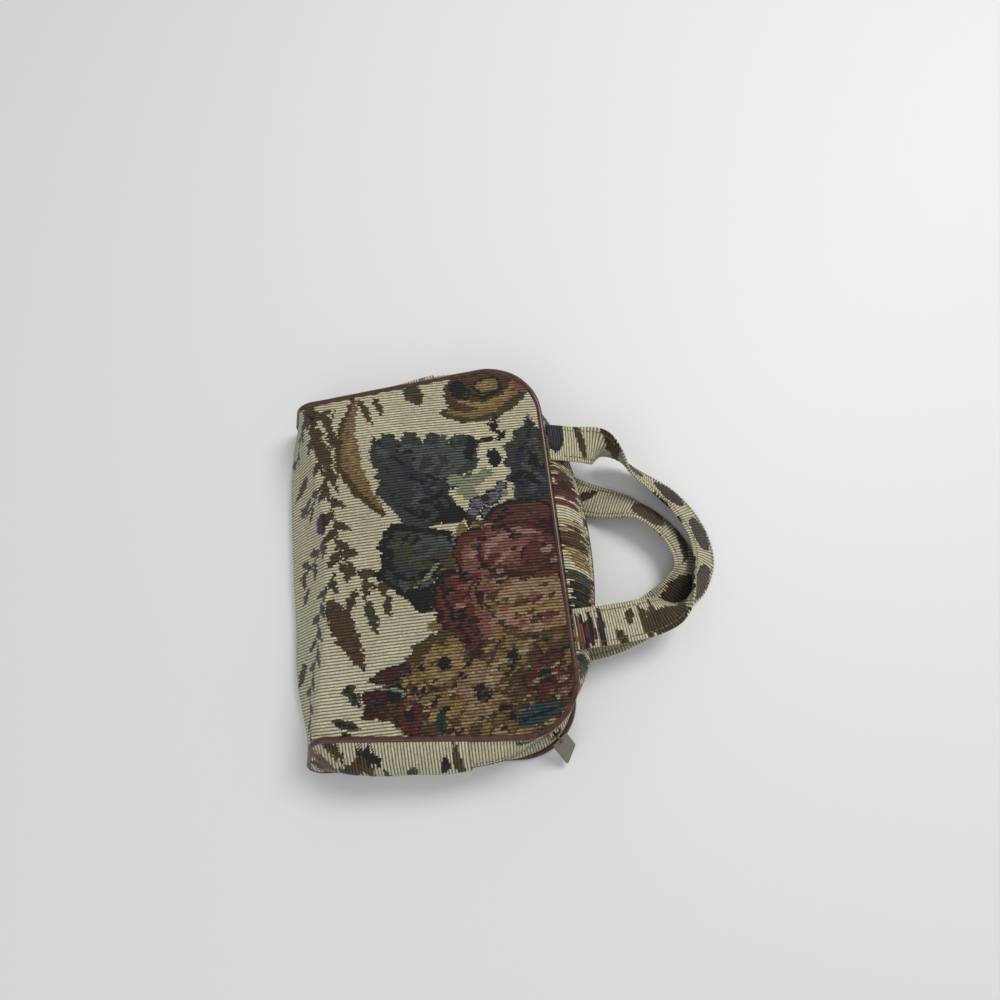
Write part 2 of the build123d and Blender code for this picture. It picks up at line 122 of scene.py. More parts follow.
# Drawing the print on points of the cloth
class Cloth:
    """Points on a cloth and their thread colours. a runs along the ribs and b across them."""

    def __init__(self, a, b, seed, ground=CREAM):
        self.random = np.random.default_rng(seed)
        rows = np.floor(b / (RIB_PITCH / 2)).astype(int)
        rows -= rows.min()
        shifts = self.random.uniform(-ROW_JITTER, ROW_JITTER, rows.max() + 1)
        self.rows = rows
        self.ground = ground
        self.a = np.floor(a / CELL) * CELL + shifts[rows]
        self.b = np.floor(b / (RIB_PITCH / 2)) * RIB_PITCH / 2
        self.colour = np.tile(ground, a.shape + (1,))

    def fill(self, mask, colour):
        self.colour[mask] = colour

    def ellipse(self, x, y, long, short, turn, colour, rim=None, rim_share=0.2):
        """A turned ellipse, with a rim of another colour if one is given."""
        c, s = math.cos(math.radians(turn)), math.sin(math.radians(turn))
        u = ((self.a - x) * c + (self.b - y) * s) / long
        v = (-(self.a - x) * s + (self.b - y) * c) / short
        reach = np.hypot(u, v)
        if rim is None:
            self.fill(reach < 1, colour)
            return
        self.fill(reach < 1, rim)
        self.fill(reach < 1 - rim_share, colour)

    def stroke(self, points, width, colour, taper=0.0):
        """A line through the points, narrowed towards its ends by the taper."""
        lengths = [math.dist(p, q) for p, q in zip(points, points[1:])]
        done = 0.0
        mask = np.zeros(self.a.shape, bool)
        for (x0, y0), (x1, y1), length in zip(points, points[1:], lengths):
            t = ((self.a - x0) * (x1 - x0) + (self.b - y0) * (y1 - y0)) / length**2
            t = np.clip(t, 0, 1)
            off = np.hypot(self.a - x0 - t * (x1 - x0), self.b - y0 - t * (y1 - y0))
            along = (done + t * length) / sum(lengths)
            mask |= off < width / 2 * (1 - taper * np.abs(2 * along - 1))
            done += length
        self.fill(mask, colour)

    def patch(self, points, colour):
        """A filled outline."""
        inside = np.zeros(self.a.shape, bool)
        for (x0, y0), (x1, y1) in zip(points, points[1:] + points[:1]):
            if y0 == y1:
                continue
            crosses = (self.b > min(y0, y1)) & (self.b <= max(y0, y1))
            at = x0 + (self.b - y0) * (x1 - x0) / (y1 - y0)
            inside ^= crosses & (self.a < at)
        self.fill(inside, colour)

    def leaf(self, base, tip, width, colour, vein=DARK, teeth=4):
        """A pointed leaf with toothed edges and a middle vein."""
        length = math.dist(base, tip)
        c, s = (tip[0] - base[0]) / length, (tip[1] - base[1]) / length
        u = ((self.a - base[0]) * c + (self.b - base[1]) * s) / length
        v = -(self.a - base[0]) * s + (self.b - base[1]) * c
        inside = np.clip(u, 0, 1)
        notch = 1 - 0.25 * ((inside * teeth) % 1)
        half = width / 2 * np.sin(np.pi * inside**0.75) ** 0.8 * notch
        mask = (u > 0) & (u < 1) & (np.abs(v) < half)
        self.fill(mask, colour)
        self.fill(mask & (np.abs(v) < 0.5 + 0.06 * width * (1 - inside)), vein)

    def flower(self, x, y, radius, petals, colour, rim, heart, turn=0.0):
        """Uneven petals about a dark heart, shaded on one side."""
        angle = np.arctan2(self.b - y, self.a - x) + math.radians(turn)
        edge = radius * (0.68 + 0.32 * np.abs(np.cos(petals * angle / 2)))
        edge = edge * (1 + 0.1 * np.sin(2 * angle + x) + 0.07 * np.sin(5 * angle + y))
        off = np.hypot(self.a - x, self.b - y)
        self.fill(off < edge, rim)
        self.fill(off < edge - 0.16 * radius, colour)
        self.fill((off < edge - 0.2 * radius) & (np.sin(petals * angle + y) > 0.35), colour * 0.7)
        self.fill((off < edge * 0.55) & (np.abs(np.sin(petals * angle / 2)) > 0.9), rim)
        self.fill(off < 0.26 * radius, heart)

    def spray(self, points, leaflet, gap, colour):
        """A stem with leaflets in turn on either side."""
        self.stroke(points, 2.0, colour)
        side = 1
        for (x0, y0), (x1, y1) in zip(points, points[1:]):
            length = math.dist((x0, y0), (x1, y1))
            heading = math.atan2(y1 - y0, x1 - x0)
            for k in range(max(1, round(length / gap))):
                t = (k + 0.5) * gap / length
                lean = heading + side * math.radians(48)
                x, y = x0 + (x1 - x0) * t, y0 + (y1 - y0) * t
                tip = (x + leaflet * math.cos(lean), y + leaflet * math.sin(lean))
                self.leaf((x, y), tip, leaflet * 0.5, colour, vein=colour, teeth=1)
                side = -side

    def thicket(self, outline, colours, count, size, spread=180):
        """Short brush-like leaves crowded together inside an outline, turned by up to the spread."""
        (x_low, y_low), (x_high, y_high) = np.min(outline, axis=0), np.max(outline, axis=0)
        for k in range(count):
            x, y = self.random.uniform(x_low, x_high), self.random.uniform(y_low, y_high)
            crossings = 0
            for (x0, y0), (x1, y1) in zip(outline, outline[1:] + outline[:1]):
                if min(y0, y1) < y <= max(y0, y1) and x < x0 + (y - y0) * (x1 - x0) / (y1 - y0):
                    crossings += 1
            long = size * self.random.uniform(0.6, 1.2)
            turn = self.random.uniform(0, spread)
            if crossings % 2:
                self.ellipse(x, y, long, long * 0.42, turn, colours[k % len(colours)])

    def streaks(self, place, spread, reach, colours, count):
        """Ragged streaks along the ribs, side by side about a place across them."""
        first, last = reach
        for k in range(count):
            y = place + self.random.uniform(-spread, spread)
            start = self.random.uniform(first, first + 0.35 * (last - first))
            end = self.random.uniform(last - 0.45 * (last - first), last)
            width = self.random.uniform(1.8, 4.2)
            lean = self.random.uniform(-1.5, 1.5)
            self.stroke([(start, y), (end, y + lean)], width, colours[k % len(colours)], 0.4)

    def speckle(self, amount):
        """Threads come up lighter or darker than their neighbours, singly and in short streaks."""
        motif = np.any(self.colour != self.ground, axis=-1)
        shifts = self.random.uniform(0, STREAK, self.rows.max() + 1)
        cells = np.floor((self.a - self.a.min() + shifts[self.rows]) / STREAK).astype(int)
        table = self.random.standard_normal((self.rows.max() + 1, cells.max() + 1))[self.rows, cells]
        self.colour[motif & (table > 1.25)] *= 0.5
        pale = motif & (table < -1.8)
        self.colour[pale] = self.colour[pale] * 0.82 + SAND * 0.18
        light = 1 + amount * self.random.standard_normal(self.a.shape) + 0.07 * table
        self.colour *= np.clip(light, 0.55, 1.45)[..., None]
        return self.colour


def teal_leaves(cloth):
    """The dark leaves in the middle of the panel."""
    cloth.patch(
        [
            (-33, 79), (-29, 73), (-26, 79), (-20, 78), (-15, 71), (-12, 78), (-5, 77), (0, 69),
            (4, 76), (11, 74), (16, 67), (20, 73), (28, 72), (33, 71), (36, 66), (33, 48), (24, 44),
            (12, 36), (17, 26), (10, 14), (-4, 10), (-16, 13), (-22, 25), (-32, 36), (-29, 50), (-35, 60),
        ],
        TEAL,
    )
    cloth.patch([(-18, 70), (28, 64), (29, 54), (14, 42), (2, 42), (-8, 52), (-12, 62)], GREY_TEAL)
    cloth.stroke([(-22, 64), (-8, 50), (8, 42)], 2.6, DARK)
    cloth.stroke([(-18, 56), (-6, 45), (6, 38)], 4.5, NAVY, taper=0.7)
    cloth.stroke([(-10, 46), (8, 36), (14, 24)], 2.4, DARK)
    cloth.ellipse(30, 62, 3.6, 9, -10, DARK)
    cloth.ellipse(4, 22, 20, 8, -18, DARK)
    cloth.ellipse(2, 27, 12, 5, -12, TEAL)
    cloth.patch(
        [
            (-25, 17), (-10, 13), (13, 7), (14, -4), (8, -14), (-2, -24), (3, -32), (-3, -41),
            (-11, -42), (-15, -35), (-22, -29), (-38, -15), (-29, -8), (-34, 3),
        ],
        DARK,
    )
    cloth.patch([(-21, 12), (9, 4), (6, -6), (-8, -16), (-20, -20), (-30, -14), (-24, -5), (-27, 4)], MOSS)
    cloth.ellipse(-22, -13, 10, 5, -30, TEAL)
    cloth.ellipse(-4, -2, 9, 6, 20, GREY_TEAL)
    cloth.stroke([(17, 2), (4, -9), (-4, -20), (-14, -26)], 3.0, PALE_GREEN, taper=0.5)
    cloth.patch(
        [
            (70, 84), (74, 74), (80, 70), (82, 50), (80, 24), (66, 22), (54, 25), (55, 34), (50, 38),
            (55, 44), (50, 50), (54, 56), (51, 62), (59, 66), (58, 72), (65, 74),
        ],
        TEAL,
    )
    cloth.stroke([(66, 70), (60, 50), (63, 32)], 6.0, NAVY, taper=0.4)
    cloth.ellipse(73, 54, 4.5, 12, 0, MOSS)
    cloth.stroke([(70, 78), (67, 50), (70, 28)], 1.8, DARK)
    cloth.thicket(
        [(-30, 74), (30, 68), (30, 46), (8, 12), (-18, 16), (-30, 40)], [DARK, GREY_TEAL, TEAL, NAVY], 60, 6
    )
    cloth.thicket([(-28, 8), (10, 2), (4, -34), (-12, -38), (-30, -16)], [DARK, MOSS, TEAL, GREY_TEAL], 36, 6)
    cloth.thicket([(60, 72), (80, 66), (80, 26), (58, 26)], [DARK, GREY_TEAL, TEAL, NAVY], 34, 6)


def small_sprigs(cloth):
    """Sprigs, seed heads and pale berries between the leaves and the rose."""
    for x, y, long, turn in ((46, 75, 6, -50), (51, 69, 4.5, 60), (41, 67, 6, 5), (48, 80, 4, 80)):
        cloth.ellipse(x, y, long, 2.0, turn, DARK)
    cloth.ellipse(45, 54, 4.6, 6.4, 10, DARK)
    for x, y, size in ((18, 41, 5), (25, 37, 6), (32, 40, 5), (38, 44, 4.5), (27, 30, 5), (21, 33, 3.5)):
        cloth.ellipse(x, y, size, size * 0.8, 0, PALE_GREEN)
    cloth.ellipse(29, 37, 2.4, 2.0, 0, SAND)
    for x, y, size in ((31, 24, 6), (40, 27, 6.5), (36, 17, 5), (46, 34, 4.5), (27, 18, 4.5), (44, 19, 4)):
        cloth.ellipse(x, y, size, size * 0.75, 20, LILAC, DARK, 0.22)
    cloth.ellipse(36, 27, 3.2, 2.4, 0, DARK_RED)
    cloth.ellipse(48, 29, 3.0, 2.0, 0, PALE_GREEN)


def big_rose(cloth):
    """The full rose: dark outer petals, a red heart and pale lower petals."""
    bed = [(2, -22), (14, 0), (34, 14), (56, 24), (82, 24), (82, -64), (40, -76), (4, -62), (-2, -46)]
    cloth.patch(bed, BROWN)
    cloth.thicket(bed, [TAN, DARK_RED, ROSE, BROWN, CRIMSON], 90, 9)
    cloth.ellipse(14, -42, 15, 26, 18, DARK_RED, DARK, 0.12)
    cloth.ellipse(12, -40, 10, 19, 18, CRIMSON)
    cloth.ellipse(58, 10, 25, 15, 0, DARK_RED, DARK, 0.12)
    cloth.ellipse(57, 13, 20, 9, 5, CRIMSON)
    cloth.ellipse(28, -8, 16, 16, 0, CRIMSON, DARK, 0.1)
    cloth.ellipse(27, -12, 10, 12, 0, ROSE)
    cloth.ellipse(56, -46, 32, 27, 0, TAN, DARK_RED, 0.07)
    cloth.ellipse(60, -44, 24, 18, -10, PEACH)
    cloth.ellipse(38, -54, 15, 14, 20, ROSE)
    cloth.ellipse(40, -50, 10, 8, 20, PINK)
    cloth.ellipse(74, -54, 9, 16, 0, GOLD)
    cloth.ellipse(53, -8, 28, 18, 0, CRIMSON, DARK_RED, 0.12)
    cloth.ellipse(50, -6, 20, 12, 0, ROSE)
    cloth.stroke([(31, -12), (38, -1), (54, 4), (70, 1)], 3.6, PINK, taper=0.5)
    cloth.stroke([(36, -18), (46, -9), (60, -6)], 3.0, PINK, taper=0.5)
    cloth.ellipse(63, -12, 11, 7, 10, CRIMSON, DARK_RED, 0.25)
    cloth.stroke([(44, -22), (56, -25), (68, -23), (76, -14)], 4.0, DARK_RED, taper=0.4)
    cloth.stroke([(52, -27), (64, -28), (74, -22)], 1.8, DARK)
    cloth.stroke([(30, -30), (36, -41), (50, -47), (58, -46)], 3.2, OLIVE, taper=0.5)
    cloth.stroke([(26, -22), (28, -40), (40, -56)], 2.0, DARK_RED)
    cloth.stroke([(4, -24), (8, -46), (22, -62), (44, -70), (66, -68)], 2.2, DARK)
    cloth.stroke([(22, -28), (24, -48), (34, -60)], 4.0, ROSE, taper=0.5)
    cloth.ellipse(80, -10, 4, 12, 0, DARK_RED)
    cloth.thicket(
        [(4, -30), (30, 4), (40, 20), (82, 20), (82, -24), (40, -28), (20, -64), (6, -58)],
        [DARK_RED, ROSE, CRIMSON, PINK, BROWN, DARK, CRIMSON], 150, 4.2, 35,
    )
    cloth.thicket(
        [(34, -24), (82, -24), (82, -70), (30, -66)], [TAN, ROSE, PEACH, BROWN, GOLD, CRIMSON], 80, 4.4, 35
    )


def lower_flowers(cloth):
    """Gold and red flowers along the near side."""
    bed = [
        (-8, -58), (40, -62), (82, -56), (82, -112), (52, -118), (-6, -116),
        (-30, -104), (-44, -92), (-26, -70),
    ]
    cloth.patch(bed, BROWN)
    cloth.thicket(bed, [TAN, OLIVE, MUSTARD, DARK_RED, BROWN, GOLD], 120, 8)
    cloth.flower(60, -85, 17, 5, CRIMSON, DARK_RED, DARK, 20)
    cloth.flower(74, -100, 12, 5, ROSE, DARK_RED, DARK)
    cloth.flower(16, -60, 9, 5, CRIMSON, DARK_RED, DARK)
    cloth.flower(42, -72, 14, 5, TAN, OLIVE, DARK, 40)
    cloth.flower(-19, -84, 11, 5, GOLD, OLIVE, BROWN, 10)
    cloth.flower(1, -72, 16, 5, GOLD, MUSTARD, DARK, 15)
    cloth.flower(22, -92, 18, 6, PEACH, TAN, DARK, 30)
    cloth.flower(5, -106, 12, 5, GOLD, MUSTARD, BROWN)
    cloth.flower(38, -106, 11, 5, MUSTARD, OLIVE, DARK, 25)
    cloth.ellipse(-8, -60, 7, 3.4, 50, BROWN)
    cloth.ellipse(2, -56, 6, 3.0, 10, OLIVE)
    cloth.ellipse(-31, -75, 13, 4.6, 12, BURGUNDY, DARK, 0.2)
    cloth.flower(-41, -91, 10, 4, BURGUNDY, DARK_RED, DARK, 45)
    cloth.flower(-21, -99, 12, 4, CRIMSON, DARK_RED, DARK)
    cloth.ellipse(-29, -86, 6.5, 5, 30, DARK)
    cloth.stroke([(-40, -82), (-28, -84), (-20, -90)], 1.6, PALE_GREEN)
    cloth.thicket(
        [(-10, -62), (40, -64), (82, -58), (82, -110), (50, -114), (0, -112), (-24, -96)],
        [SAND, DARK, OLIVE, BROWN, PEACH, DARK_RED, MUSTARD], 150, 3.2, 50,
    )
    cloth.leaf((40, -110), (70, -103), 13, DEEP_TEAL, DARK, 3)
    cloth.leaf((-3, -112), (-3, -97), 8, DEEP_GREEN, DARK, 2)


def side_sprays(cloth):
    """Ferns, a gold ribbon leaf and the brown leaves near the bottom fold."""
    cloth.stroke([(-43, 106), (-50, 84), (-50, 60), (-42, 40), (-29, 24)], 16, BROWN, taper=0.75)
    cloth.stroke([(-42, 104), (-48, 82), (-47, 60), (-39, 42), (-30, 28)], 13, TAN, taper=0.8)
    cloth.stroke([(-45, 90), (-48, 70), (-42, 50)], 3.5, GOLD, taper=0.8)
    cloth.stroke([(-57, 100), (-61, 78), (-60, 58)], 2.4, OLIVE, taper=0.5)
    cloth.leaf((-40, 106), (-31, 84), 5, OLIVE, OLIVE, 1)
    cloth.leaf((-30, 106), (-24, 90), 5, OLIVE, OLIVE, 1)
    cloth.leaf((-6, 113), (0, 96), 15, OLIVE, MOSS, 3)
    cloth.spray([(-78, 108), (-71, 76), (-64, 50), (-60, 22), (-58, -8)], 12, 8, OLIVE)
    cloth.spray([(-70, 98), (-58, 92)], 9, 6, BROWN)
    cloth.flower(-72, 96, 7, 5, OLIVE, BROWN, DARK)
    cloth.spray([(-60, 6), (-46, -14), (-28, -30)], 13, 9, OLIVE)
    cloth.leaf((-42, -30), (-37, -52), 8, MOSS, OLIVE, 2)
    cloth.leaf((-49, -22), (-56, -40), 7, OLIVE, OLIVE, 2)
    cloth.leaf((-66, -26), (-46, -72), 17, BROWN, OLIVE, 4)
    cloth.leaf((-58, -78), (-50, -92), 9, MOSS, DARK, 2)
    cloth.leaf((-66, -98), (-50, -104), 7, MOSS, DARK, 2)
    cloth.leaf((-60, -104), (-56, -116), 8, OLIVE, DARK, 2)
    cloth.spray([(-76, -52), (-92, -82), (-88, -108)], 11, 8, OLIVE)
    cloth.leaf((-96, -60), (-110, -74), 8, MOSS, OLIVE, 2)
    cloth.leaf((-84, 60), (-104, 48), 7, OLIVE, OLIVE, 2)
    cloth.leaf((-82, 44), (-100, 34), 6, OLIVE, OLIVE, 2)
    cloth.leaf((-90, -14), (-100, -24), 6, MOSS, MOSS, 2)
    cloth.flower(-70, 23, 7, 5, DARK_RED, BURGUNDY, DARK)
    cloth.spray([(-62, 52), (-76, 40), (-92, 34)], 11, 8, OLIVE)
    cloth.leaf((-72, 92), (-56, 40), 8, OLIVE, BROWN, 3)
    cloth.leaf((-64, 100), (-55, 66), 6, BROWN, OLIVE, 2)
    cloth.spray([(-66, 14), (-82, 0), (-100, -6)], 12, 8, OLIVE)
    cloth.spray([(-62, -10), (-74, -30), (-80, -50)], 11, 8, MOSS)
    cloth.spray([(-78, 92), (-94, 84), (-106, 72)], 10, 8, OLIVE)


def tan_rose(cloth):
    """The brown rose at the far edge."""
    cloth.ellipse(44, 103, 28, 20, 8, BROWN)
    cloth.stroke([(16, 89), (28, 84), (48, 86), (66, 98), (72, 112)], 9, OLIVE, taper=0.3)
    cloth.stroke([(20, 89), (32, 86), (48, 89), (63, 100)], 5.5, TAN, taper=0.4)
    cloth.stroke([(26, 97), (40, 92), (56, 97), (64, 108)], 5, GOLD, taper=0.5)
    cloth.stroke([(30, 103), (42, 98), (54, 103)], 2.2, DARK)
    cloth.ellipse(46, 107, 10, 6, 10, TAN, DARK, 0.2)
    cloth.ellipse(46, 107, 5, 2.6, 10, GOLD)
    cloth.ellipse(27, 105, 6, 8, 20, DARK)
    cloth.ellipse(70, 106, 7, 7, 0, ROSE)


def panel_print(a, b, seed):
    """Thread colours of the big panel at a (from the bottom fold) and b (across the bag)."""
    cloth = Cloth(a, b, seed)
    for draw in (side_sprays, tan_rose, teal_leaves, small_sprigs, big_rose, lower_flowers):
        draw(cloth)
    return cloth.speckle(0.1)


# Outline of the side wall
def outline_at(z):
    """The wall's outline values at height z."""
    lift = abs(z - ZIP_HEIGHT) - ZIP_HALF_FACE
    if lift <= 0:
        return ZIP_LINE
    seam_line, seam = (FRONT_LINE, FRONT_HEIGHT) if z > ZIP_HEIGHT else (BACK_LINE, BACK_HEIGHT)
    t = min(1.0, lift / (abs(seam - ZIP_HEIGHT) - ZIP_HALF_FACE))
    return ZIP_LINE + (seam_line - ZIP_LINE) * ((1 - STRIP_CURL) * t + STRIP_CURL * t * t)


def bow_circle(start, end, bow):
    """Centre and radius of the arc from start to end that stands out by bow."""
    start, end = np.array(start), np.array(end)
    run = end - start
    half = np.linalg.norm(run) / 2
    radius = (half * half + bow * bow) / (2 * bow)
    out = np.array([run[1], -run[0]]) / (2 * half)
    return (start + end) / 2 + out * (bow - radius), radius


def corner_centre(first, second, corner, radius):
    """Centre of the corner arc that touches both circles from inside, nearest the corner."""
    (c1, r1), (c2, r2) = first, second
    r1, r2 = r1 - radius, r2 - radius
    between = c2 - c1
    gap = np.linalg.norm(between)
    along = (r1 * r1 - r2 * r2 + gap * gap) / (2 * gap)
    off = math.sqrt(max(0.0, r1 * r1 - along * along))
    unit = between / gap
    side = np.array([-unit[1], unit[0]])
    found = [c1 + unit * along + side * off * sign for sign in (1, -1)]
    return min(found, key=lambda p: np.linalg.norm(p - np.array(corner)))


def arc_points(centre, radius, start, end, step=0.6):
    """Points on a circle from one angle point to another, the short way round."""
    a0 = math.atan2(start[1] - centre[1], start[0] - centre[0])
    a1 = math.atan2(end[1] - centre[1], end[0] - centre[0])
    turn = (a1 - a0 + math.pi) % (2 * math.pi) - math.pi
    count = max(2, int(abs(turn) * radius / step))
    angles = a0 + turn * np.linspace(0, 1, count)
    return centre + radius * np.stack([np.cos(angles), np.sin(angles)], 1)


def wall_path(z, grow):
    """Points along the wall at height z, from the near bottom corner round the top to the far one."""
    bottom, near_bottom, near_top, top, far_top, far_bottom, top_bow, side_bow, corner = outline_at(z)
    corners = [(bottom, near_bottom), (top, near_top), (top, far_top), (bottom, far_bottom)]
    bows = (side_bow, top_bow, side_bow)
    circles = [bow_circle(corners[k], corners[k + 1], bows[k]) for k in range(3)]
    ends = [np.array(corners[0])]
    bends = []
    for k in (0, 1):
        centre = corner_centre(circles[k], circles[k + 1], corners[k + 1], corner)
        bends.append(centre)
        for c, r in (circles[k], circles[k + 1]):
            ends.append(c + (centre - c) / np.linalg.norm(centre - c) * r)
    ends.append(np.array(corners[3]))
    pieces = []
    for k in range(3):
        c, r = circles[k]
        pieces.append(arc_points(c, r + grow, ends[2 * k], ends[2 * k + 1]))
        if k < 2:
            pieces.append(arc_points(bends[k], corner + grow, ends[2 * k + 1], ends[2 * k + 2]))
    return np.vstack([pieces[0]] + [piece[1:] for piece in pieces[1:]])


def path_lengths(points):
    """How far along a line of points each one is."""
    return np.concatenate([[0], np.cumsum(np.linalg.norm(np.diff(points, axis=0), axis=1))])


def unit_rows(vectors):
    """The rows of vectors at length one."""
    return vectors / np.linalg.norm(vectors, axis=1)[:, None]


def cloth_uv(a, b):
    """Cloth coordinates from distances on the cloth."""
    return np.stack([a, b], -1) / CLOTH_UNIT


def resample(points, count):
    """Evenly spaced points along a line of points, and how far along each one is."""
    along = path_lengths(points)
    places = np.linspace(0, along[-1], count)
    return np.stack([np.interp(places, along, points[:, k]) for k in range(points.shape[1])], 1), places


def side_y(x, z, far):
    """Where the wall's near or far side is at each x."""
    path = wall_path(z, 0.0)
    half = len(path) // 2
    side = path[half:][::-1] if far else path[:half]
    return np.interp(x, side[:, 0], side[:, 1])


# Meshes
def grid_piece(name, points, uv, colours, closed=False):
    """A piece from rows of points (mm), with cloth coordinates and a thread colour for each face."""
    rows, columns = points.shape[:2]
    index = np.arange(rows * columns).reshape(rows, columns)
    last = columns if closed else columns - 1
    right = np.roll(index, -1, axis=1)
    quads = np.stack([index[:-1], right[:-1], right[1:], index[1:]], -1)[:, :last].reshape(-1, 4)
    mesh = bpy.data.meshes.new(name)
    mesh.from_pydata((points.reshape(-1, 3) * MM).tolist(), [], quads.tolist())
    if uv is not None:
        flat = uv.reshape(-1, 2)[quads.ravel()]
        if closed:
            seam = flat.reshape(-1, 4, 2)
            seam[:, 1:3][seam[:, 1:3, 0] < seam[:, :1, 0] - 1e-6, 0] += uv[0, -1, 0] + uv[0, 1, 0]
            flat = seam.reshape(-1, 2)
        layer = mesh.uv_layers.new(name="cloth")
        layer.data.foreach_set("uv", flat.astype(np.float32).ravel())
    if colours is not None:
        shades = np.repeat(colours.reshape(-1, 3), 4, axis=0)
        shades = np.hstack([shades, np.ones((len(shades), 1))])
        attribute = mesh.color_attributes.new(name="print", type="FLOAT_COLOR", domain="CORNER")
        attribute.data.foreach_set("color", shades.astype(np.float32).ravel())
    mesh.shade_smooth()
    piece = bpy.data.objects.new(name, mesh)
    bpy.context.scene.collection.objects.link(piece)
    return piece


def middles(values):
    """Mean of each cell's four corners."""
    return (values[:-1, :-1] + values[1:, :-1] + values[:-1, 1:] + values[1:, 1:]) / 4


def ripple(x, y, scale, phase):
    """A soft irregular wave between about -1 and 1."""
    x, y = x / scale, y / scale
    return (
        np.sin(1.3 * x + 0.7 * y + phase) + np.sin(-0.6 * x + 1.5 * y + 2.1 * phase)
        + 0.6 * np.sin(2.3 * x - 1.9 * y + 0.7 * phase)
    ) / 2.6


# The big panel, front and back. Rows follow its profile and columns go across the bag.
FRONT_ROWS, FOLD_ROWS, BOTTOM_ROWS, BACK_ROWS = 214, 14, 62, 150
PANEL_COLUMNS = 316
# The front piece ends this many rows short of the end of the bottom
BACK_OVERLAP_ROWS = 14
PANEL_STATIONS = 41
PANEL_HALF_REACH = 124
# Past this cloth distance the back has a print of its own
BACK_PRINT_START = -136
# That print is the panel's own, turned round about this place on the cloth
BACK_PRINT_TURN = -214, 8
FRONT_SEED, BACK_SEED = 11, 12
# Half the width that the first guess of the cloth's columns spans
FIRST_HALF_WIDTH = 112
PROFILE_POINTS = 400


def belly_profile(y):
    """(x, z) down the panel's outside at y."""
    swell = 1 - min(1.0, abs(y) / -FRONT_LINE[1]) ** 2
    half_cloth = CLOTH / 2
    fold_x = -HALF_LENGTH - half_cloth + FOLD_SAG * swell
    table_swell = 1 - min(1.0, abs(y) / -FRONT_LINE[1]) ** 4
    table_x = BACK_LINE[0] - half_cloth - TABLE_BULGE * table_swell
    rim = FRONT_HEIGHT + half_cloth
    rise = RIM_CROWN + (CROWN - RIM_CROWN) * swell
    middle, chord = (fold_x + HALF_LENGTH) / 2, (HALF_LENGTH - fold_x) / 2
    radius = (chord**2 + rise**2) / (2 * rise)
    top_x = np.linspace(HALF_LENGTH, fold_x, PROFILE_POINTS)
    front = np.stack([top_x, rim + rise - radius + np.sqrt(radius**2 - (top_x - middle) ** 2)], 1)
    soft = FOLD_RADIUS + (MIDDLE_FOLD_RADIUS - FOLD_RADIUS) * swell
    corners = [front[-1], np.array([table_x, 0.0])]
    bottom_dir = (corners[1] - corners[0]) / np.linalg.norm(corners[1] - corners[0])
    front_dir = (front[-2] - front[-1]) / np.linalg.norm(front[-2] - front[-1])

    def bend(corner, before, after, size):
        """How far a round bend reaches from its corner, and its points."""
        open_angle = math.acos(np.clip(before @ after, -1, 1))
        reach = size / math.tan(open_angle / 2)
        middle_way = (before + after) / np.linalg.norm(before + after)
        centre = corner + middle_way * size / math.sin(open_angle / 2)
        return reach, arc_points(centre, size, corner + before * reach, corner + after * reach, 0.05)

    reach1, arc1 = bend(corners[0], front_dir, bottom_dir, soft)
    back_dir = np.array([1.0, 0.0])
    table_fold = BACK_FOLD_RADIUS + (TABLE_FOLD_RADIUS - BACK_FOLD_RADIUS) * table_swell
    _, arc2 = bend(corners[1], -bottom_dir, back_dir, table_fold)
    keep = np.linalg.norm(front - corners[0], axis=1) > reach1
    front_part, _ = resample(np.vstack([front[keep], arc1[:1]]), FRONT_ROWS)
    fold_part, _ = resample(arc1, FOLD_ROWS)
    bottom_part, _ = resample(np.vstack([arc1[-1:], arc2]), BOTTOM_ROWS)
    back_part, _ = resample(np.vstack([arc2[-1:], [[HALF_LENGTH, 0.0]]]), BACK_ROWS)
    return np.vstack([front_part, fold_part[1:], bottom_part[1:], back_part[1:]])


def seam_limits(x, z, near):
    """Where the cloth meets the seam beside a point of the panel."""
    share = np.clip((z - BACK_HEIGHT) / (FRONT_HEIGHT - BACK_HEIGHT), 0, 1)
    limits = []
    for line in (BACK_LINE, FRONT_LINE):
        start, end = (line[1], line[2]) if near else (line[5], line[4])
        straight = start + (end - start) * (x - line[0]) / (line[3] - line[0])
        past = np.clip(x - (HALF_LENGTH - line[8]), 0, line[8])
        inward = line[8] - np.sqrt(line[8] ** 2 - past**2)
        limits.append(straight + inward if near else straight - inward)
    return limits[0] * (1 - share) + limits[1] * share


def panel_points():
    """Points of the panel, their cloth distance and the seam's places on either side of them."""
    across = np.linspace(0, 1, PANEL_COLUMNS)
    stations = np.linspace(-1, 1, PANEL_STATIONS) * PANEL_HALF_REACH
    profiles = np.stack([belly_profile(y) for y in stations])
    rows = profiles.shape[1]
    y = np.tile(np.linspace(-FIRST_HALF_WIDTH, FIRST_HALF_WIDTH, PANEL_COLUMNS), (rows, 1))
    for _ in range(3):
        x = np.stack([np.interp(y[r], stations, profiles[:, r, 0]) for r in range(rows)])
        z = np.stack([np.interp(y[r], stations, profiles[:, r, 1]) for r in range(rows)])
        near, far = seam_limits(x, z, True), seam_limits(x, z, False)
        y = near + (far - near) * across
    points = np.stack([x, y, z], -1)
    steps = np.linalg.norm(np.diff(points[..., [0, 2]], axis=0), axis=2)
    down = np.vstack([np.zeros((1, PANEL_COLUMNS)), np.cumsum(steps, axis=0)])
    cloth_a = x[0] - down
    return points, cloth_a, near, far


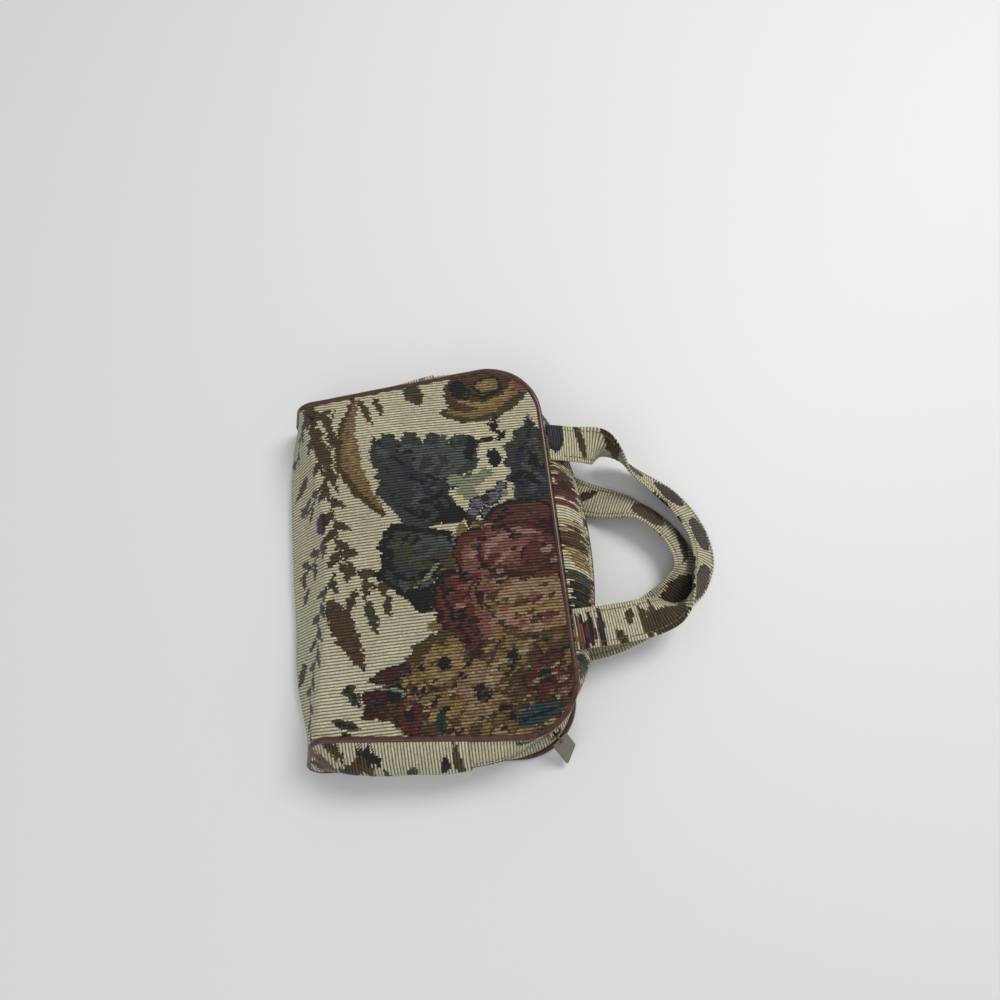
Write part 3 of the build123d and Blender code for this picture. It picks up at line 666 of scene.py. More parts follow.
def dress_panel(points, cloth_a, near, far):
    """Puckers along the seam and soft dents in the middle."""
    x, y, z = points[..., 0], points[..., 1], points[..., 2]
    from_seam = np.minimum(y - near, far - y)
    from_seam = np.minimum(from_seam, np.hypot(HALF_LENGTH - x, 0 * x) + 2)
    lift_share = np.clip(z / FRONT_HEIGHT, 0, 1)
    pucker = 0.42 * np.exp(-from_seam / 7) * np.sin(2 * np.pi * cloth_a / 8.5 + 1.6 * ripple(x, y, 22, 0.4))
    dents = 0.75 * ripple(x, y, 30, 1.2) * np.clip(from_seam / 25, 0, 1)
    hollow = -0.9 * np.exp(-((x - 30) ** 2 + (y - 20) ** 2) / 900)
    sag = hollow + 0.8 * np.exp(-((x + 20) ** 2 + (y + 40) ** 2) / 1400)
    z = z + (pucker + dents + sag) * lift_share**2
    ridge = np.exp(-((cloth_a - cloth_a[FRONT_ROWS]) ** 2) / 12)
    z = z + ridge * 0.5 * ripple(0 * y, y, 9, 0.8) * lift_share
    edge = np.exp(-((from_seam / 2.6) ** 2))
    z = z - 0.9 * edge * lift_share**3
    slope = lift_share * (1 - lift_share) * 4
    x = x + slope * (1.3 * ripple(z * 1.5, y, 16, 2.2) + 0.5 * pucker)
    return np.stack([x, y, np.maximum(z, 0.05)], -1)


panel, panel_a, near_limit, far_limit = panel_points()
panel = dress_panel(panel, panel_a, near_limit, far_limit)
front_end = FRONT_ROWS + FOLD_ROWS + BOTTOM_ROWS - BACK_OVERLAP_ROWS
front_a, front_b = panel_a[: front_end + 1], panel[: front_end + 1, :, 1]
front_colours = panel_print(middles(front_a), middles(front_b), FRONT_SEED)
body_front = grid_piece(
    "body_front", panel[: front_end + 1], cloth_uv(front_a, front_b), front_colours
)
back_columns = slice(None, None, 2)
back_points = panel[front_end:, back_columns]
back_a, back_b = panel_a[front_end:, back_columns], back_points[..., 1]
middle_a, middle_b = middles(back_a), middles(back_b)
back_colours = np.where(
    (middle_a > BACK_PRINT_START)[..., None],
    panel_print(middle_a, middle_b, FRONT_SEED),
    panel_print(BACK_PRINT_TURN[0] - middle_a, BACK_PRINT_TURN[1] - middle_b, BACK_SEED),
)
body_back = grid_piece("body_back", back_points, cloth_uv(back_a, back_b), back_colours)
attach(body_front, "bag")
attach(body_back, "bag")
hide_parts("body_panel")


# Routes of straight runs and round bends
BEND_POINTS = 24


def rounded_route(points, radii):
    """Points along straight runs joined by round bends."""
    points = [np.array(p, float) for p in points]
    line = [points[0]]
    for before, corner, after, radius in zip(points, points[1:], points[2:], radii):
        to_before = (before - corner) / np.linalg.norm(before - corner)
        to_after = (after - corner) / np.linalg.norm(after - corner)
        angle = math.acos(np.clip(to_before @ to_after, -1, 1))
        reach = radius / math.tan(angle / 2)
        middle_way = (to_before + to_after) / np.linalg.norm(to_before + to_after)
        centre = corner + middle_way * radius / math.sin(angle / 2)
        first, last = corner + to_before * reach - centre, corner + to_after * reach - centre
        sweep = math.pi - angle
        for t in np.linspace(0, 1, BEND_POINTS):
            blend = first * math.sin((1 - t) * sweep) + last * math.sin(t * sweep)
            line.append(centre + blend / math.sin(sweep))
    line.append(points[-1])
    return np.array(line)


# The side gussets, ribbed across, round at their bottom ends
GUSSET_ROWS, GUSSET_COLUMNS = 52, 128
# How far its end goes in under the piping, and the thickness of its cloth
GUSSET_TUCK, GUSSET_THICKNESS = 0.3, 1.2


def end_seam(far):
    """Points of the seam round a gusset's bottom end, from the back up to the front."""
    bottom, top = (5, 4) if far else (1, 2)
    route = [
        (HALF_LENGTH, FRONT_LINE[top], FRONT_HEIGHT), (-HALF_LENGTH, FRONT_LINE[bottom], FRONT_HEIGHT),
        (BACK_LINE[0], BACK_LINE[bottom], BACK_HEIGHT), (HALF_LENGTH, BACK_LINE[top], BACK_HEIGHT),
    ]
    return rounded_route(route, [FOLD_RADIUS, BACK_FOLD_RADIUS])[-2:0:-1]


def gusset(name, far):
    """A side gusset: its wall, its print and its cloth thickness."""
    heights = np.linspace(BACK_HEIGHT + 0.3, FRONT_HEIGHT - 0.2, GUSSET_ROWS)
    seam = end_seam(far)
    rows = []
    for z in heights:
        share = (z - BACK_HEIGHT) / (FRONT_HEIGHT - BACK_HEIGHT)
        left = np.interp(z, seam[:, 2], seam[:, 0]) - GUSSET_TUCK
        end_y = np.interp(z, seam[:, 2], seam[:, 1])
        x = np.linspace(left, GUSSET_END, GUSSET_COLUMNS)
        out = 1 if far else -1
        y = side_y(x, z, far) + out * CLOTH / 2
        if far:
            seam_y = side_y(x, BACK_HEIGHT, far) * (1 - share) + side_y(x, FRONT_HEIGHT, far) * share
            y = y + (seam_y + CLOTH / 2 - y) * 0.6 * np.clip((GUSSET_END - x) / 30, 0, 1)
        y = y + (end_y + out * 0.5 - y) * np.exp(-((x - left) / 9) ** 2)
        middle = 1 - (2 * share - 1) ** 2
        fold = 0.5 * np.sin(x / 7 + 3 * share) * middle + 0.8 * np.exp(-(((x + 62) / 9) ** 2)) * middle
        y = y + out * fold * np.clip((x - left) / 8, 0, 1) * np.clip((GUSSET_END - x) / 8, 0, 1)
        rows.append(np.stack([x, y, np.full_like(x, z)], 1))
    points = np.array(rows)
    a, b = points[..., 2], points[..., 0]
    cloth = Cloth(middles(a), middles(b), 31 if far else 30)
    cloth.ellipse(10, -66, 9, 10, 0, OLIVE)
    cloth.thicket([(4, -80), (36, -80), (36, -46), (6, -46)], [OLIVE, MUSTARD, BROWN, GOLD, DARK], 34, 6)
    cloth.leaf((30, -76), (8, -58), 10, MUSTARD, OLIVE, 2)
    cloth.leaf((16, -78), (34, -50), 8, OLIVE, BROWN, 2)
    cloth.flower(20, -62, 9, 5, BROWN, OLIVE, DARK)
    cloth.stroke([(38, -52), (26, -48), (12, -52)], 3, OLIVE, taper=0.5)
    cloth.ellipse(26, -24, 5, 3, 40, MOSS)
    cloth.leaf((38, 2), (22, 6), 6, OLIVE, OLIVE, 2)
    cloth.ellipse(30, -4, 4, 2.4, 30, DARK)
    cloth.leaf((10, -2), (26, -10), 6, DARK, OLIVE, 2)
    cloth.leaf((12, 4), (30, 8), 5, OLIVE, DARK, 2)
    cloth.leaf((14, -34), (30, -40), 5, OLIVE, MOSS, 2)
    piece = grid_piece(name, points, cloth_uv(a, b), cloth.speckle(0.09))
    solid = piece.modifiers.new("cloth", "SOLIDIFY")
    solid.thickness = GUSSET_THICKNESS * MM
    solid.offset = -1 if far else 1
    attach(piece, "bag")
    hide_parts("gusset_far" if far else "gusset_near")


gusset("gusset_near_cloth", False)
gusset("gusset_far_cloth", True)


# The zip strips, with a folded edge beside the zip
STRIP_COLUMNS = 470
OUTSIDE_ROWS, FOLD_STEPS, INSIDE_ROWS = 17, 5, 8
# The folded edge is dark from this row on, and stitched along this one
EDGE_ROW, STITCH_ROW = 15, 12
STRIP_EDGE = linear("3B281C")
# How far a strip starts from the seam's height, stands off the gussets and turns in at its fold
STRIP_INSET, STRIP_GAP, STRIP_LIP = 0.6, 0.2, 0.8
# Pitch and length of the stitches
STRIP_STITCHES, STRAP_STITCHES = (3.1, 2.3), (3.4, 2.6)


def strip_profile(front):
    """(z, grow) rows from the seam to the folded edge and back up inside."""
    seam = FRONT_HEIGHT - STRIP_INSET if front else BACK_HEIGHT + STRIP_INSET
    way = 1 if front else -1
    edge = ZIP_HEIGHT + way * (ZIP_HALF_FACE + 0.1)
    outside = [(z, CLOTH / 2) for z in np.linspace(seam, edge + way * STRIP_LIP, OUTSIDE_ROWS)]
    turn = [
        (edge + way * STRIP_LIP * (1 - math.sin(t)), CLOTH / 2 * math.cos(t))
        for t in np.linspace(0, math.pi, FOLD_STEPS + 2)[1:-1]
    ]
    inside = [(z, -CLOTH / 2) for z in np.linspace(edge + way * STRIP_LIP, seam - way * 2, INSIDE_ROWS)]
    return outside + turn + inside


def cut_path(z, grow):
    """The wall's path round the bag's top, between the gussets."""
    path = wall_path(z, grow)
    kept = np.nonzero(path[:, 0] > GUSSET_END + STRIP_GAP)[0]
    ends = []
    for inner, outer in ((kept[0], kept[0] - 1), (kept[-1], kept[-1] + 1)):
        share = (GUSSET_END + STRIP_GAP - path[outer, 0]) / (path[inner, 0] - path[outer, 0])
        ends.append(path[outer] + (path[inner] - path[outer]) * share)
    return resample(np.vstack([ends[:1], path[kept], ends[1:]]), STRIP_COLUMNS)


def strip_print(cloth):
    """Streaks of colour along a zip strip. b is the distance from the near end of the strip."""
    centre = cloth.b.max() / 2
    top = [
        (-92, 7, BROWN), (-80, 4, DARK), (-64, 8, BURGUNDY), (-56, 4, ROSE), (-48, 5, DARK),
        (-38, 6, DARK), (-30, 3, MOSS), (-16, 6, GOLD), (-6, 4, BROWN), (2, 5, SAND),
        (24, 9, CRIMSON), (33, 5, BURGUNDY), (42, 3, SAND), (50, 4, ROSE), (78, 7, OLIVE), (96, 8, BROWN),
    ]
    for place, half, colour in top:
        cloth.streaks(centre + place, half, (20, 41), [colour, colour * 0.75, BROWN, colour * 1.35], 12)
        cloth.streaks(centre - 0.9 * place, half, (0, 22), [colour, BROWN, colour], 6)
    cloth.leaf((38, centre - 150), (26, centre - 134), 7, BROWN, OLIVE, 2)
    cloth.leaf((30, centre - 128), (38, centre - 112), 6, OLIVE, DARK, 2)
    cloth.leaf((38, centre + 150), (28, centre + 130), 7, OLIVE, DARK, 2)


def stitch_row(name, centres, alongs, outs, length):
    """A row of short thread stitches lying on a cloth."""
    ring = [(1, 0), (0.3, 1), (-0.3, 1), (-1, 0)]
    vertices, faces = [], []
    for centre, along, out in zip(centres, alongs, outs):
        side = np.cross(out, along)
        first = len(vertices)
        for lengthwise, size in ((-1, 0.45), (-0.55, 1.0), (0.55, 1.0), (1, 0.45)):
            for across, up in ring:
                point = centre + along * lengthwise * length / 2 + side * across * 0.32 * size
                vertices.append(tuple((point + out * (up * 0.3 * size - 0.05)) * MM))
        for ringwise in range(3):
            for k in range(3):
                a = first + ringwise * 4 + k
                faces.append((a, a + 1, a + 5, a + 4))
    mesh = bpy.data.meshes.new(name)
    mesh.from_pydata(vertices, [], faces)
    mesh.shade_smooth()
    piece = bpy.data.objects.new(name, mesh)
    bpy.context.scene.collection.objects.link(piece)
    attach(piece, "bag")


def line_stitches(name, line, outs, pitch, length):
    """Stitches at an even pitch along a line of points on cloth."""
    along = path_lengths(line)
    places = np.arange(pitch, along[-1] - pitch / 2, pitch)

    def at(values, where):
        return np.stack([np.interp(where, along, values[:, k]) for k in range(3)], 1)

    centres = at(line, places)
    ways = unit_rows(at(line, places + 0.4) - at(line, places - 0.4))
    normals = unit_rows(at(outs, places))
    stitch_row(name, centres, ways, normals, length)


def grid_normals(points):
    """Unit normals of a grid of points."""
    du = np.gradient(points, axis=0)
    dv = np.gradient(points, axis=1)
    normals = np.cross(du, dv)
    return normals / (np.linalg.norm(normals, axis=2)[..., None] + 1e-9)


def zip_strip(name, node, front):
    """A zip strip from the seam to its folded edge, with its print and its row of stitches."""
    rows, lengths = [], []
    for z, grow in strip_profile(front):
        path, places = cut_path(z, grow)
        rows.append(np.column_stack([path, np.full(len(path), z)]))
        lengths.append(places)
    points = np.array(rows)
    b = np.array(lengths)
    across = path_lengths(points[:, 200])
    a = np.tile((40 - across if front else across)[:, None], (1, STRIP_COLUMNS))
    wave = 0.35 * np.sin(b / 5.5 + 2 * ripple(b, a, 30, 1)) * np.exp(-((across[:, None] - 4) ** 2) / 30)
    points[..., 2] += wave * (1 if front else -1) * (across[:, None] < 14) * 0.6
    cloth = Cloth(middles(a), middles(b), 41 if front else 42)
    strip_print(cloth)
    cloth.colour[EDGE_ROW:] = STRIP_EDGE
    piece = grid_piece(name, points, cloth_uv(a, b), cloth.speckle(0.09))
    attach(piece, "bag")
    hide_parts(node)
    normals = grid_normals(points)
    if np.mean(normals[STITCH_ROW, 200:260, 0]) < 0:
        normals = -normals
    out = normals[STITCH_ROW]
    line_stitches(f"{name}_stitches", points[STITCH_ROW] + out * 0.12, out, *STRIP_STITCHES)


zip_strip("zip_strip_front_cloth", "zip_strip_front", True)
zip_strip("zip_strip_back_cloth", "zip_strip_back", False)


# The piping, one glossy cord in the seam
PIPING_RINGS, PIPING_SIDES = 760, 20
# The cord is this much thinner than its solid
PIPING_EASE = 0.3


def seam_point(line, height, end):
    """A corner of a seam line, as a point in space."""
    bottom, near_bottom, near_top, top, far_top, far_bottom = line[:6]
    places = {
        "near_bottom": (bottom, near_bottom), "near_top": (top, near_top),
        "far_top": (top, far_top), "far_bottom": (bottom, far_bottom),
    }
    return (*places[end], height)


def piping():
    """The cord along the whole seam, from the middle of the back's top edge round to it again."""
    back_middle = (BACK_LINE[2] + BACK_LINE[4]) / 2
    route = [
        (HALF_LENGTH, back_middle - 0.1, BACK_HEIGHT),
        seam_point(BACK_LINE, BACK_HEIGHT, "near_top"), seam_point(BACK_LINE, BACK_HEIGHT, "near_bottom"),
        seam_point(FRONT_LINE, FRONT_HEIGHT, "near_bottom"), seam_point(FRONT_LINE, FRONT_HEIGHT, "near_top"),
        seam_point(FRONT_LINE, FRONT_HEIGHT, "far_top"), seam_point(FRONT_LINE, FRONT_HEIGHT, "far_bottom"),
        seam_point(BACK_LINE, BACK_HEIGHT, "far_bottom"), seam_point(BACK_LINE, BACK_HEIGHT, "far_top"),
        (HALF_LENGTH, back_middle + 0.1, BACK_HEIGHT),
    ]
    corner = FRONT_LINE[8]
    bends = [corner, BACK_FOLD_RADIUS, FOLD_RADIUS, corner, corner, FOLD_RADIUS, BACK_FOLD_RADIUS, corner]
    line, places = resample(rounded_route(route, bends), PIPING_RINGS)
    along = unit_rows(np.gradient(line, axis=0))
    side = np.cross(along, np.array([0.0, 0.0, 1.0]) + 0.05 * along)
    weak = np.linalg.norm(side, axis=1) < 0.3
    side[weak] = np.array([1.0, 0.0, 0.0])
    side = unit_rows(side)
    up = np.cross(side, along)
    angles = np.linspace(0, 2 * np.pi, PIPING_SIDES, endpoint=False)
    lumps = 0.05 * np.sin(places / 3.1) + 0.05 * np.sin(places / 7.7 + 1)
    radius = (PIPING_RADIUS - PIPING_EASE + lumps)[:, None, None]
    circle = np.cos(angles)[None, :, None] * side[:, None] + np.sin(angles)[None, :, None] * up[:, None]
    points = line[:, None] + radius * circle
    points[..., 2] = np.maximum(points[..., 2], 0.03)
    u = np.tile(places[:, None], (1, PIPING_SIDES))
    v = np.tile((angles * PIPING_RADIUS)[None], (PIPING_RINGS, 1))
    piece = grid_piece("piping_cord", points, cloth_uv(v, u), None, closed=True)
    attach(piece, "bag")
    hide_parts("piping")


piping()


# The handles, flat straps with turned edges and two lines of stitching on each face
def rest_height(roll):
    """Height of a strap's middle line when its lower edge rests on the table."""
    turn = math.radians(roll)
    return STRAP_WIDTH / 2 * abs(math.sin(turn)) + STRAP_THICKNESS / 2 * abs(math.cos(turn)) + STRAP_REST_GAP


def smooth_line(points, start, end, count):
    """A smooth curve through the points, leaving in the start direction and arriving in the end one."""
    points = np.array(points, float)
    steps = np.linalg.norm(np.diff(points, axis=0), axis=1)
    places = path_lengths(points)
    n = len(points)
    matrix, right = np.zeros((n, n)), np.zeros((n, 3))
    matrix[0, 0] = matrix[-1, -1] = 1
    right[0], right[-1] = start / np.linalg.norm(start), end / np.linalg.norm(end)
    for k in range(1, n - 1):
        h0, h1 = steps[k - 1], steps[k]
        matrix[k, k - 1 : k + 2] = h1, 2 * (h0 + h1), h0
        right[k] = 3 * (h1 * (points[k] - points[k - 1]) / h0 + h0 * (points[k + 1] - points[k]) / h1)
    slopes = np.linalg.solve(matrix, right)
    where = np.linspace(0, places[-1], count)
    span = np.clip(np.searchsorted(places, where, side="right") - 1, 0, n - 2)
    h = steps[span][:, None]
    t = (where - places[span])[:, None] / h
    line = (
        (2 * t**3 - 3 * t**2 + 1) * points[span] + (t**3 - 2 * t**2 + t) * h * slopes[span]
        + (3 * t**2 - 2 * t**3) * points[span + 1] + (t**3 - t**2) * h * slopes[span + 1]
    )
    return line, places, where


STRAP_RINGS = 380
# The stitch lines' distance from the strap's edges, and the rings left bare at its ends
STITCH_MARGIN, BARE_RINGS = 3.2, 12


def strap(name, node, route, seed, paint):
    """A strap along its route, turned as it lies, with its print and four lines of stitches."""
    stations = [(HALF_LENGTH + x, y, rest_height(roll) if z is None else z) for x, y, z, roll in route]
    first, second, last, before = (np.array(stations[k]) for k in (0, 1, -1, -2))
    start = np.array([1, 0, (second[2] - first[2]) / (second[0] - first[0])])
    end = -np.array([1, 0, (before[2] - last[2]) / (before[0] - last[0])])
    line, places, where = smooth_line(stations, start, end, STRAP_RINGS)
    rolls = np.radians(np.interp(where, places, [roll for _, _, _, roll in route]))
    kernel = np.hanning(17) / np.hanning(17).sum()
    rolls = np.convolve(np.pad(rolls, 8, mode="edge"), kernel, mode="valid")
    along = unit_rows(np.gradient(line, axis=0))
    level = unit_rows(np.stack([-along[:, 1], along[:, 0], np.zeros(len(along))], 1))
    upright = np.cross(along, level)
    across = level * np.cos(rolls)[:, None] + upright * np.sin(rolls)[:, None]
    face = np.cross(along, across)

    half, thick = STRAP_WIDTH / 2, STRAP_THICKNESS / 2
    flat = np.linspace(-1, 1, 27) * (half - thick)
    groove = 0.22 * np.exp(-(((np.abs(flat) - half + STITCH_MARGIN) / 0.7) ** 2))
    puff = 0.86 + 0.14 * np.cos(np.pi * flat / (half - thick)) - groove
    top = [(w, thick * p) for w, p in zip(flat, puff)]
    edge = [
        (half - thick + thick * math.sin(t), thick * 0.8 * math.cos(t))
        for t in np.linspace(0, math.pi, 7)[1:-1]
    ]
    ring = np.array(top + edge + [(-w, -h) for w, h in top + edge])
    waves = 0.25 * ripple(where[:, None], ring[None, :, 0], 12, seed)
    height = ring[None, :, 1] + waves * (np.abs(ring[None, :, 0]) < half - 1.5)
    points = line[:, None] + across[:, None] * ring[None, :, 0, None] + face[:, None] * height[..., None]
    points[..., 2] = np.maximum(points[..., 2], 0.06)
    around = path_lengths(ring)
    a = np.tile(around[None], (STRAP_RINGS, 1))
    b = np.tile(where[:, None], (1, len(ring)))
    closed_a = np.hstack([a, a[:, :1] + around[-1] + 0.9])
    closed_b = np.hstack([b, b[:, :1]])
    cloth = Cloth(middles(closed_a), middles(closed_b), seed)
    paint(cloth, where[-1])
    piece = grid_piece(name, points, cloth_uv(a, b), cloth.speckle(0.09), closed=True)
    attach(piece, "bag")
    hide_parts(node)
    inner = slice(BARE_RINGS, STRAP_RINGS - BARE_RINGS)
    for side in (1, -1):
        for up in (1, -1):
            edge_line = line + across * side * (half - STITCH_MARGIN) + face * up * (thick * 0.82)
            kept = edge_line[inner]
            kept[:, 2] = np.maximum(kept[:, 2], 0.4)
            kind = f"{name}_stitches_{'outer' if side > 0 else 'inner'}_{'top' if up > 0 else 'under'}"
            line_stitches(kind, kept, face[inner] * up, *STRAP_STITCHES)


# Stations of the straps' middle lines: x past the top seam, y, height or None where the strap
# rests on the table, and roll in degrees
SEAT = FRONT_HEIGHT
FRONT_ROUTE = [
    (3.0, 62.5, SEAT + 0.4, 0), (11.5, 62.3, SEAT - 3.0, 0), (22, 61.5, 32.6, 0),
    (34, 60.5, 29.0, 20), (43.5, 58.0, 25.5, 80), (57, 47, 17.5, 120), (81, 27, None, 135),
    (95.5, 2, None, 135), (97.5, -20, None, 135), (90, -36, 12.5, 128), (80, -46.5, 17.0, 95),
    (66, -52.5, 21.0, 30), (50, -56, 25.5, 0), (34, -58, 29.8, 0), (21, -59, 33.2, 0),
    (11.5, -59.5, SEAT - 2.8, 0), (3.0, -60, SEAT + 0.4, 0),
]
BACK_ROUTE = [
    (3.0, 43, None, 0), (13.5, 40, None, 0), (25, 33.5, None, -4), (42, 26, None, -20),
    (60, 18, None, -48), (74, 5.5, None, -48), (82.5, -9, None, -46), (84.5, -25, None, -42),
    (77, -38.5, None, -20), (64, -48, None, -3), (47, -56, None, 0), (25, -62.5, None, 0),
    (13.5, -64, None, 0), (3.0, -64.5, None, 0),
]


def paint_front_strap(cloth, length):
    """Fields of colour along the front handle, from its far end to its near end."""
    middle = 12.5
    cloth.ellipse(20, 4, 16, 7, 0, NAVY, DARK, 0.2)
    cloth.leaf((0, 26), (30, 18), 6, OLIVE, OLIVE, 1)
    cloth.leaf((26, 34), (4, 58), 11, OLIVE, BROWN, 3)
    cloth.ellipse(6, 66, 6, 12, 0, BROWN)
    cloth.ellipse(middle, 94, 13, 17, 0, DARK_RED, DARK, 0.25)
    cloth.ellipse(middle + 3, 92, 6, 9, 0, CRIMSON)
    cloth.leaf((2, 116), (22, 140), 13, MOSS, OLIVE, 3)
    cloth.leaf((24, 112), (14, 130), 7, MUSTARD, BROWN, 2)
    cloth.ellipse(middle, 158, 14, 20, 0, OLIVE, DARK, 0.15)
    cloth.ellipse(middle - 2, 154, 6, 12, 10, BROWN)
    cloth.stroke([(4, 172), (14, 182), (22, 196)], 4, DARK, taper=0.4)
    cloth.ellipse(middle + 4, 198, 9, 13, 0, BROWN, OLIVE, 0.2)
    cloth.leaf((2, length - 88), (20, length - 70), 9, OLIVE, BROWN, 3)
    cloth.leaf((22, length - 64), (6, length - 48), 9, MOSS, OLIVE, 3)
    cloth.ellipse(8, length - 38, 5, 3, 20, BROWN)
    cloth.ellipse(20, length - 30, 6, 3, -20, OLIVE)
    cloth.streaks(length - 10, 9, (0, 26), [DARK_RED, NAVY, ROSE, DARK, CRIMSON], 20)
    cloth.streaks(96, 14, (0, 26), [DARK_RED, CRIMSON, DARK, BROWN], 14)
    cloth.streaks(158, 16, (0, 26), [OLIVE, BROWN, DARK, MUSTARD], 16)
    cloth.streaks(length - 60, 14, (0, 26), [OLIVE, BROWN, MOSS], 8)
    for k in range(7):
        place = 30 + k * length / 8
        cloth.ellipse(39, place, 9, 12, 0, (OLIVE, BROWN, DARK_RED, MOSS)[k % 4], DARK, 0.15)


def paint_back_strap(cloth, length):
    """Fields of colour along the back handle, from its far end to its near end."""
    cloth.leaf((4, 16), (20, 34), 8, BROWN, OLIVE, 2)
    cloth.ellipse(12, 70, 12, 12, 0, BROWN, OLIVE, 0.2)
    cloth.leaf((24, 88), (6, 112), 11, OLIVE, DARK, 3)
    cloth.ellipse(14, 128, 12, 10, 0, MOSS, OLIVE, 0.2)
    cloth.leaf((4, length - 80), (20, length - 56), 10, OLIVE, BROWN, 3)
    for k in range(6):
        place = 24 + k * length / 7
        cloth.ellipse(39, place, 11, 11, 0, (SAND, OLIVE, BROWN)[k % 3], OLIVE, 0.15)


strap("handle_front_strap", "handle_front", FRONT_ROUTE, 51, paint_front_strap)
strap("handle_back_strap", "handle_back", BACK_ROUTE, 52, paint_back_strap)


# The pull tab, flat and slanting at its end, with dark cut edges and a hole for the ring. Its
# places and sizes are those of the part's source.
SLIDER_ANGLE, TAB_DROOP = -54, 43
BAIL = np.array([63.4158, -119.196, ZIP_HEIGHT])
TAB_START, TAB_LONG_SIDE, TAB_SHORT_SIDE, TAB_HALF_WIDTH = 3.35, 24.0, 16.5, 5.75
TAB_HOLE, TAB_HOLE_RADIUS, TAB_HALF_THICKNESS = 5.65, 1.2, 0.7
TAB_RINGS, TAB_SIDES = 26, 96
TAB_FACE, TAB_EDGE = linear("777064"), linear("26211D")


def pull_tab():
    """The tab as rings from its hole out to its edge, on the face and back again on the other."""
    angle, droop = math.radians(SLIDER_ANGLE), math.radians(TAB_DROOP)
    outward = np.array([math.cos(angle), math.sin(angle), 0])
    along_zip = np.array([math.sin(angle), -math.cos(angle), 0])
    hang = outward * math.cos(droop) + np.array([0, 0, -math.sin(droop)])
    face = np.cross(along_zip, hang)
    outline = [
        (TAB_HALF_WIDTH, TAB_START), (TAB_HALF_WIDTH, TAB_LONG_SIDE),
        (-TAB_HALF_WIDTH, TAB_SHORT_SIDE), (-TAB_HALF_WIDTH, TAB_START),
    ]
    turns = np.linspace(0, 2 * np.pi, TAB_SIDES, endpoint=False)
    edge = []
    for t in turns:
        way = np.array([math.cos(t), math.sin(t)])
        reach = 1e9
        for (x0, y0), (x1, y1) in zip(outline, outline[1:] + outline[:1]):
            run = np.array([x1 - x0, y1 - y0])
            below = way[0] * run[1] - way[1] * run[0]
            if abs(below) > 1e-9:
                far = (x0 * run[1] - (y0 - TAB_HOLE) * run[0]) / below
                spot = (far * way + np.array([0, TAB_HOLE]) - np.array([x0, y0])) @ run / (run @ run)
                if far > 0 and -1e-6 <= spot <= 1 + 1e-6:
                    reach = min(reach, far)
        edge.append(reach)
    edge = np.array(edge)

    def ring_at(share, height, inset=0.0):
        reach = TAB_HOLE_RADIUS + (edge - TAB_HOLE_RADIUS - inset) * share
        flat = np.stack([reach * np.cos(turns), TAB_HOLE + reach * np.sin(turns)], 1)
        return BAIL + flat[:, :1] * along_zip + flat[:, 1:] * hang + face * height

    def side_rings(shares, way):
        """Rings of one face and their colours, thinned and dark towards the edge."""
        thick = [way * TAB_HALF_THICKNESS * (1 - 0.25 * max(0.0, share - 0.9) / 0.1) for share in shares]
        shades = [TAB_EDGE if share > 0.93 else TAB_FACE for share in shares]
        return [ring_at(share, height, 0.12) for share, height in zip(shares, thick)], shades

    top, top_shades = side_rings(np.linspace(0, 1, TAB_RINGS), 1)
    under, under_shades = side_rings(np.linspace(1, 0, TAB_RINGS), -1)
    rows = top + [ring_at(1, 0.0)] + under + top[:1]
    shades = top_shades + [TAB_EDGE] + under_shades
    points = np.array(rows)
    colours = np.tile(np.array(shades)[:, None], (1, len(turns), 1))
    piece = grid_piece("pull_tab_leather", points, None, colours, closed=True)
    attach(piece, "pull")
    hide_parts("pull_tab")


pull_tab()


# Materials
class Finish:
    """A material and short calls for the nodes that the finishes are made of."""

    def __init__(self, name):
        self.material = bpy.data.materials.new(name)
        self.material.use_nodes = True
        self.nodes = self.material.node_tree.nodes
        self.link = self.material.node_tree.links.new
        self.shader = self.nodes["Principled BSDF"]

    def math(self, operation, first, second=None):
        node = self.nodes.new("ShaderNodeMath")
        node.operation = operation
        for socket, value in zip(node.inputs, (first, second)):
            if isinstance(value, (int, float)):
                socket.default_value = value
            elif value is not None:
                self.link(value, socket)
        return node.outputs[0]

    def times(self, first, second):
        return self.math("MULTIPLY", first, second)

    def plus(self, first, second):
        return self.math("ADD", first, second)

    def scaled(self, value, gain, base):
        """The value times the gain, plus the base."""
        return self.plus(self.times(value, gain), base)

    def wave(self, place, power):
        """A row of rounded humps, one for each unit of the place."""
        hump = self.math("ABSOLUTE", self.math("SINE", self.times(place, math.pi)))
        return self.math("POWER", hump, power)

    def noise(self, vector, scale, detail=3.0):
        node = self.nodes.new("ShaderNodeTexNoise")
        node.inputs["Scale"].default_value = scale
        node.inputs["Detail"].default_value = detail
        self.link(vector, node.inputs["Vector"])
        return node.outputs["Fac"]

    def place(self):
        return self.nodes.new("ShaderNodeTexCoord").outputs["Object"]

    def print_colour(self, light):
        """The piece's own thread colours as base colour, made lighter or darker by the given factor: painted
        shade and random tone on the tapestry, a grain on the tab.
        """
        colours = self.nodes.new("ShaderNodeVertexColor")
        colours.layer_name = "print"
        node = self.nodes.new("ShaderNodeVectorMath")
        node.operation = "SCALE"
        self.link(colours.outputs["Color"], node.inputs[0])
        self.link(light, node.inputs["Scale"])
        self.link(node.outputs[0], self.shader.inputs["Base Color"])

    def bump(self, height, strength, depth):
        node = self.nodes.new("ShaderNodeBump")
        node.inputs["Strength"].default_value = strength
        node.inputs["Distance"].default_value = depth * MM
        self.link(height, node.inputs["Height"])
        self.link(node.outputs["Normal"], self.shader.inputs["Normal"])

    def roughness(self, value, gain, base):
        self.link(self.scaled(value, gain, base), self.shader.inputs["Roughness"])

    def settings(self, **values):
        for name, value in values.items():
            self.shader.inputs[name.replace("_", " ")].default_value = value


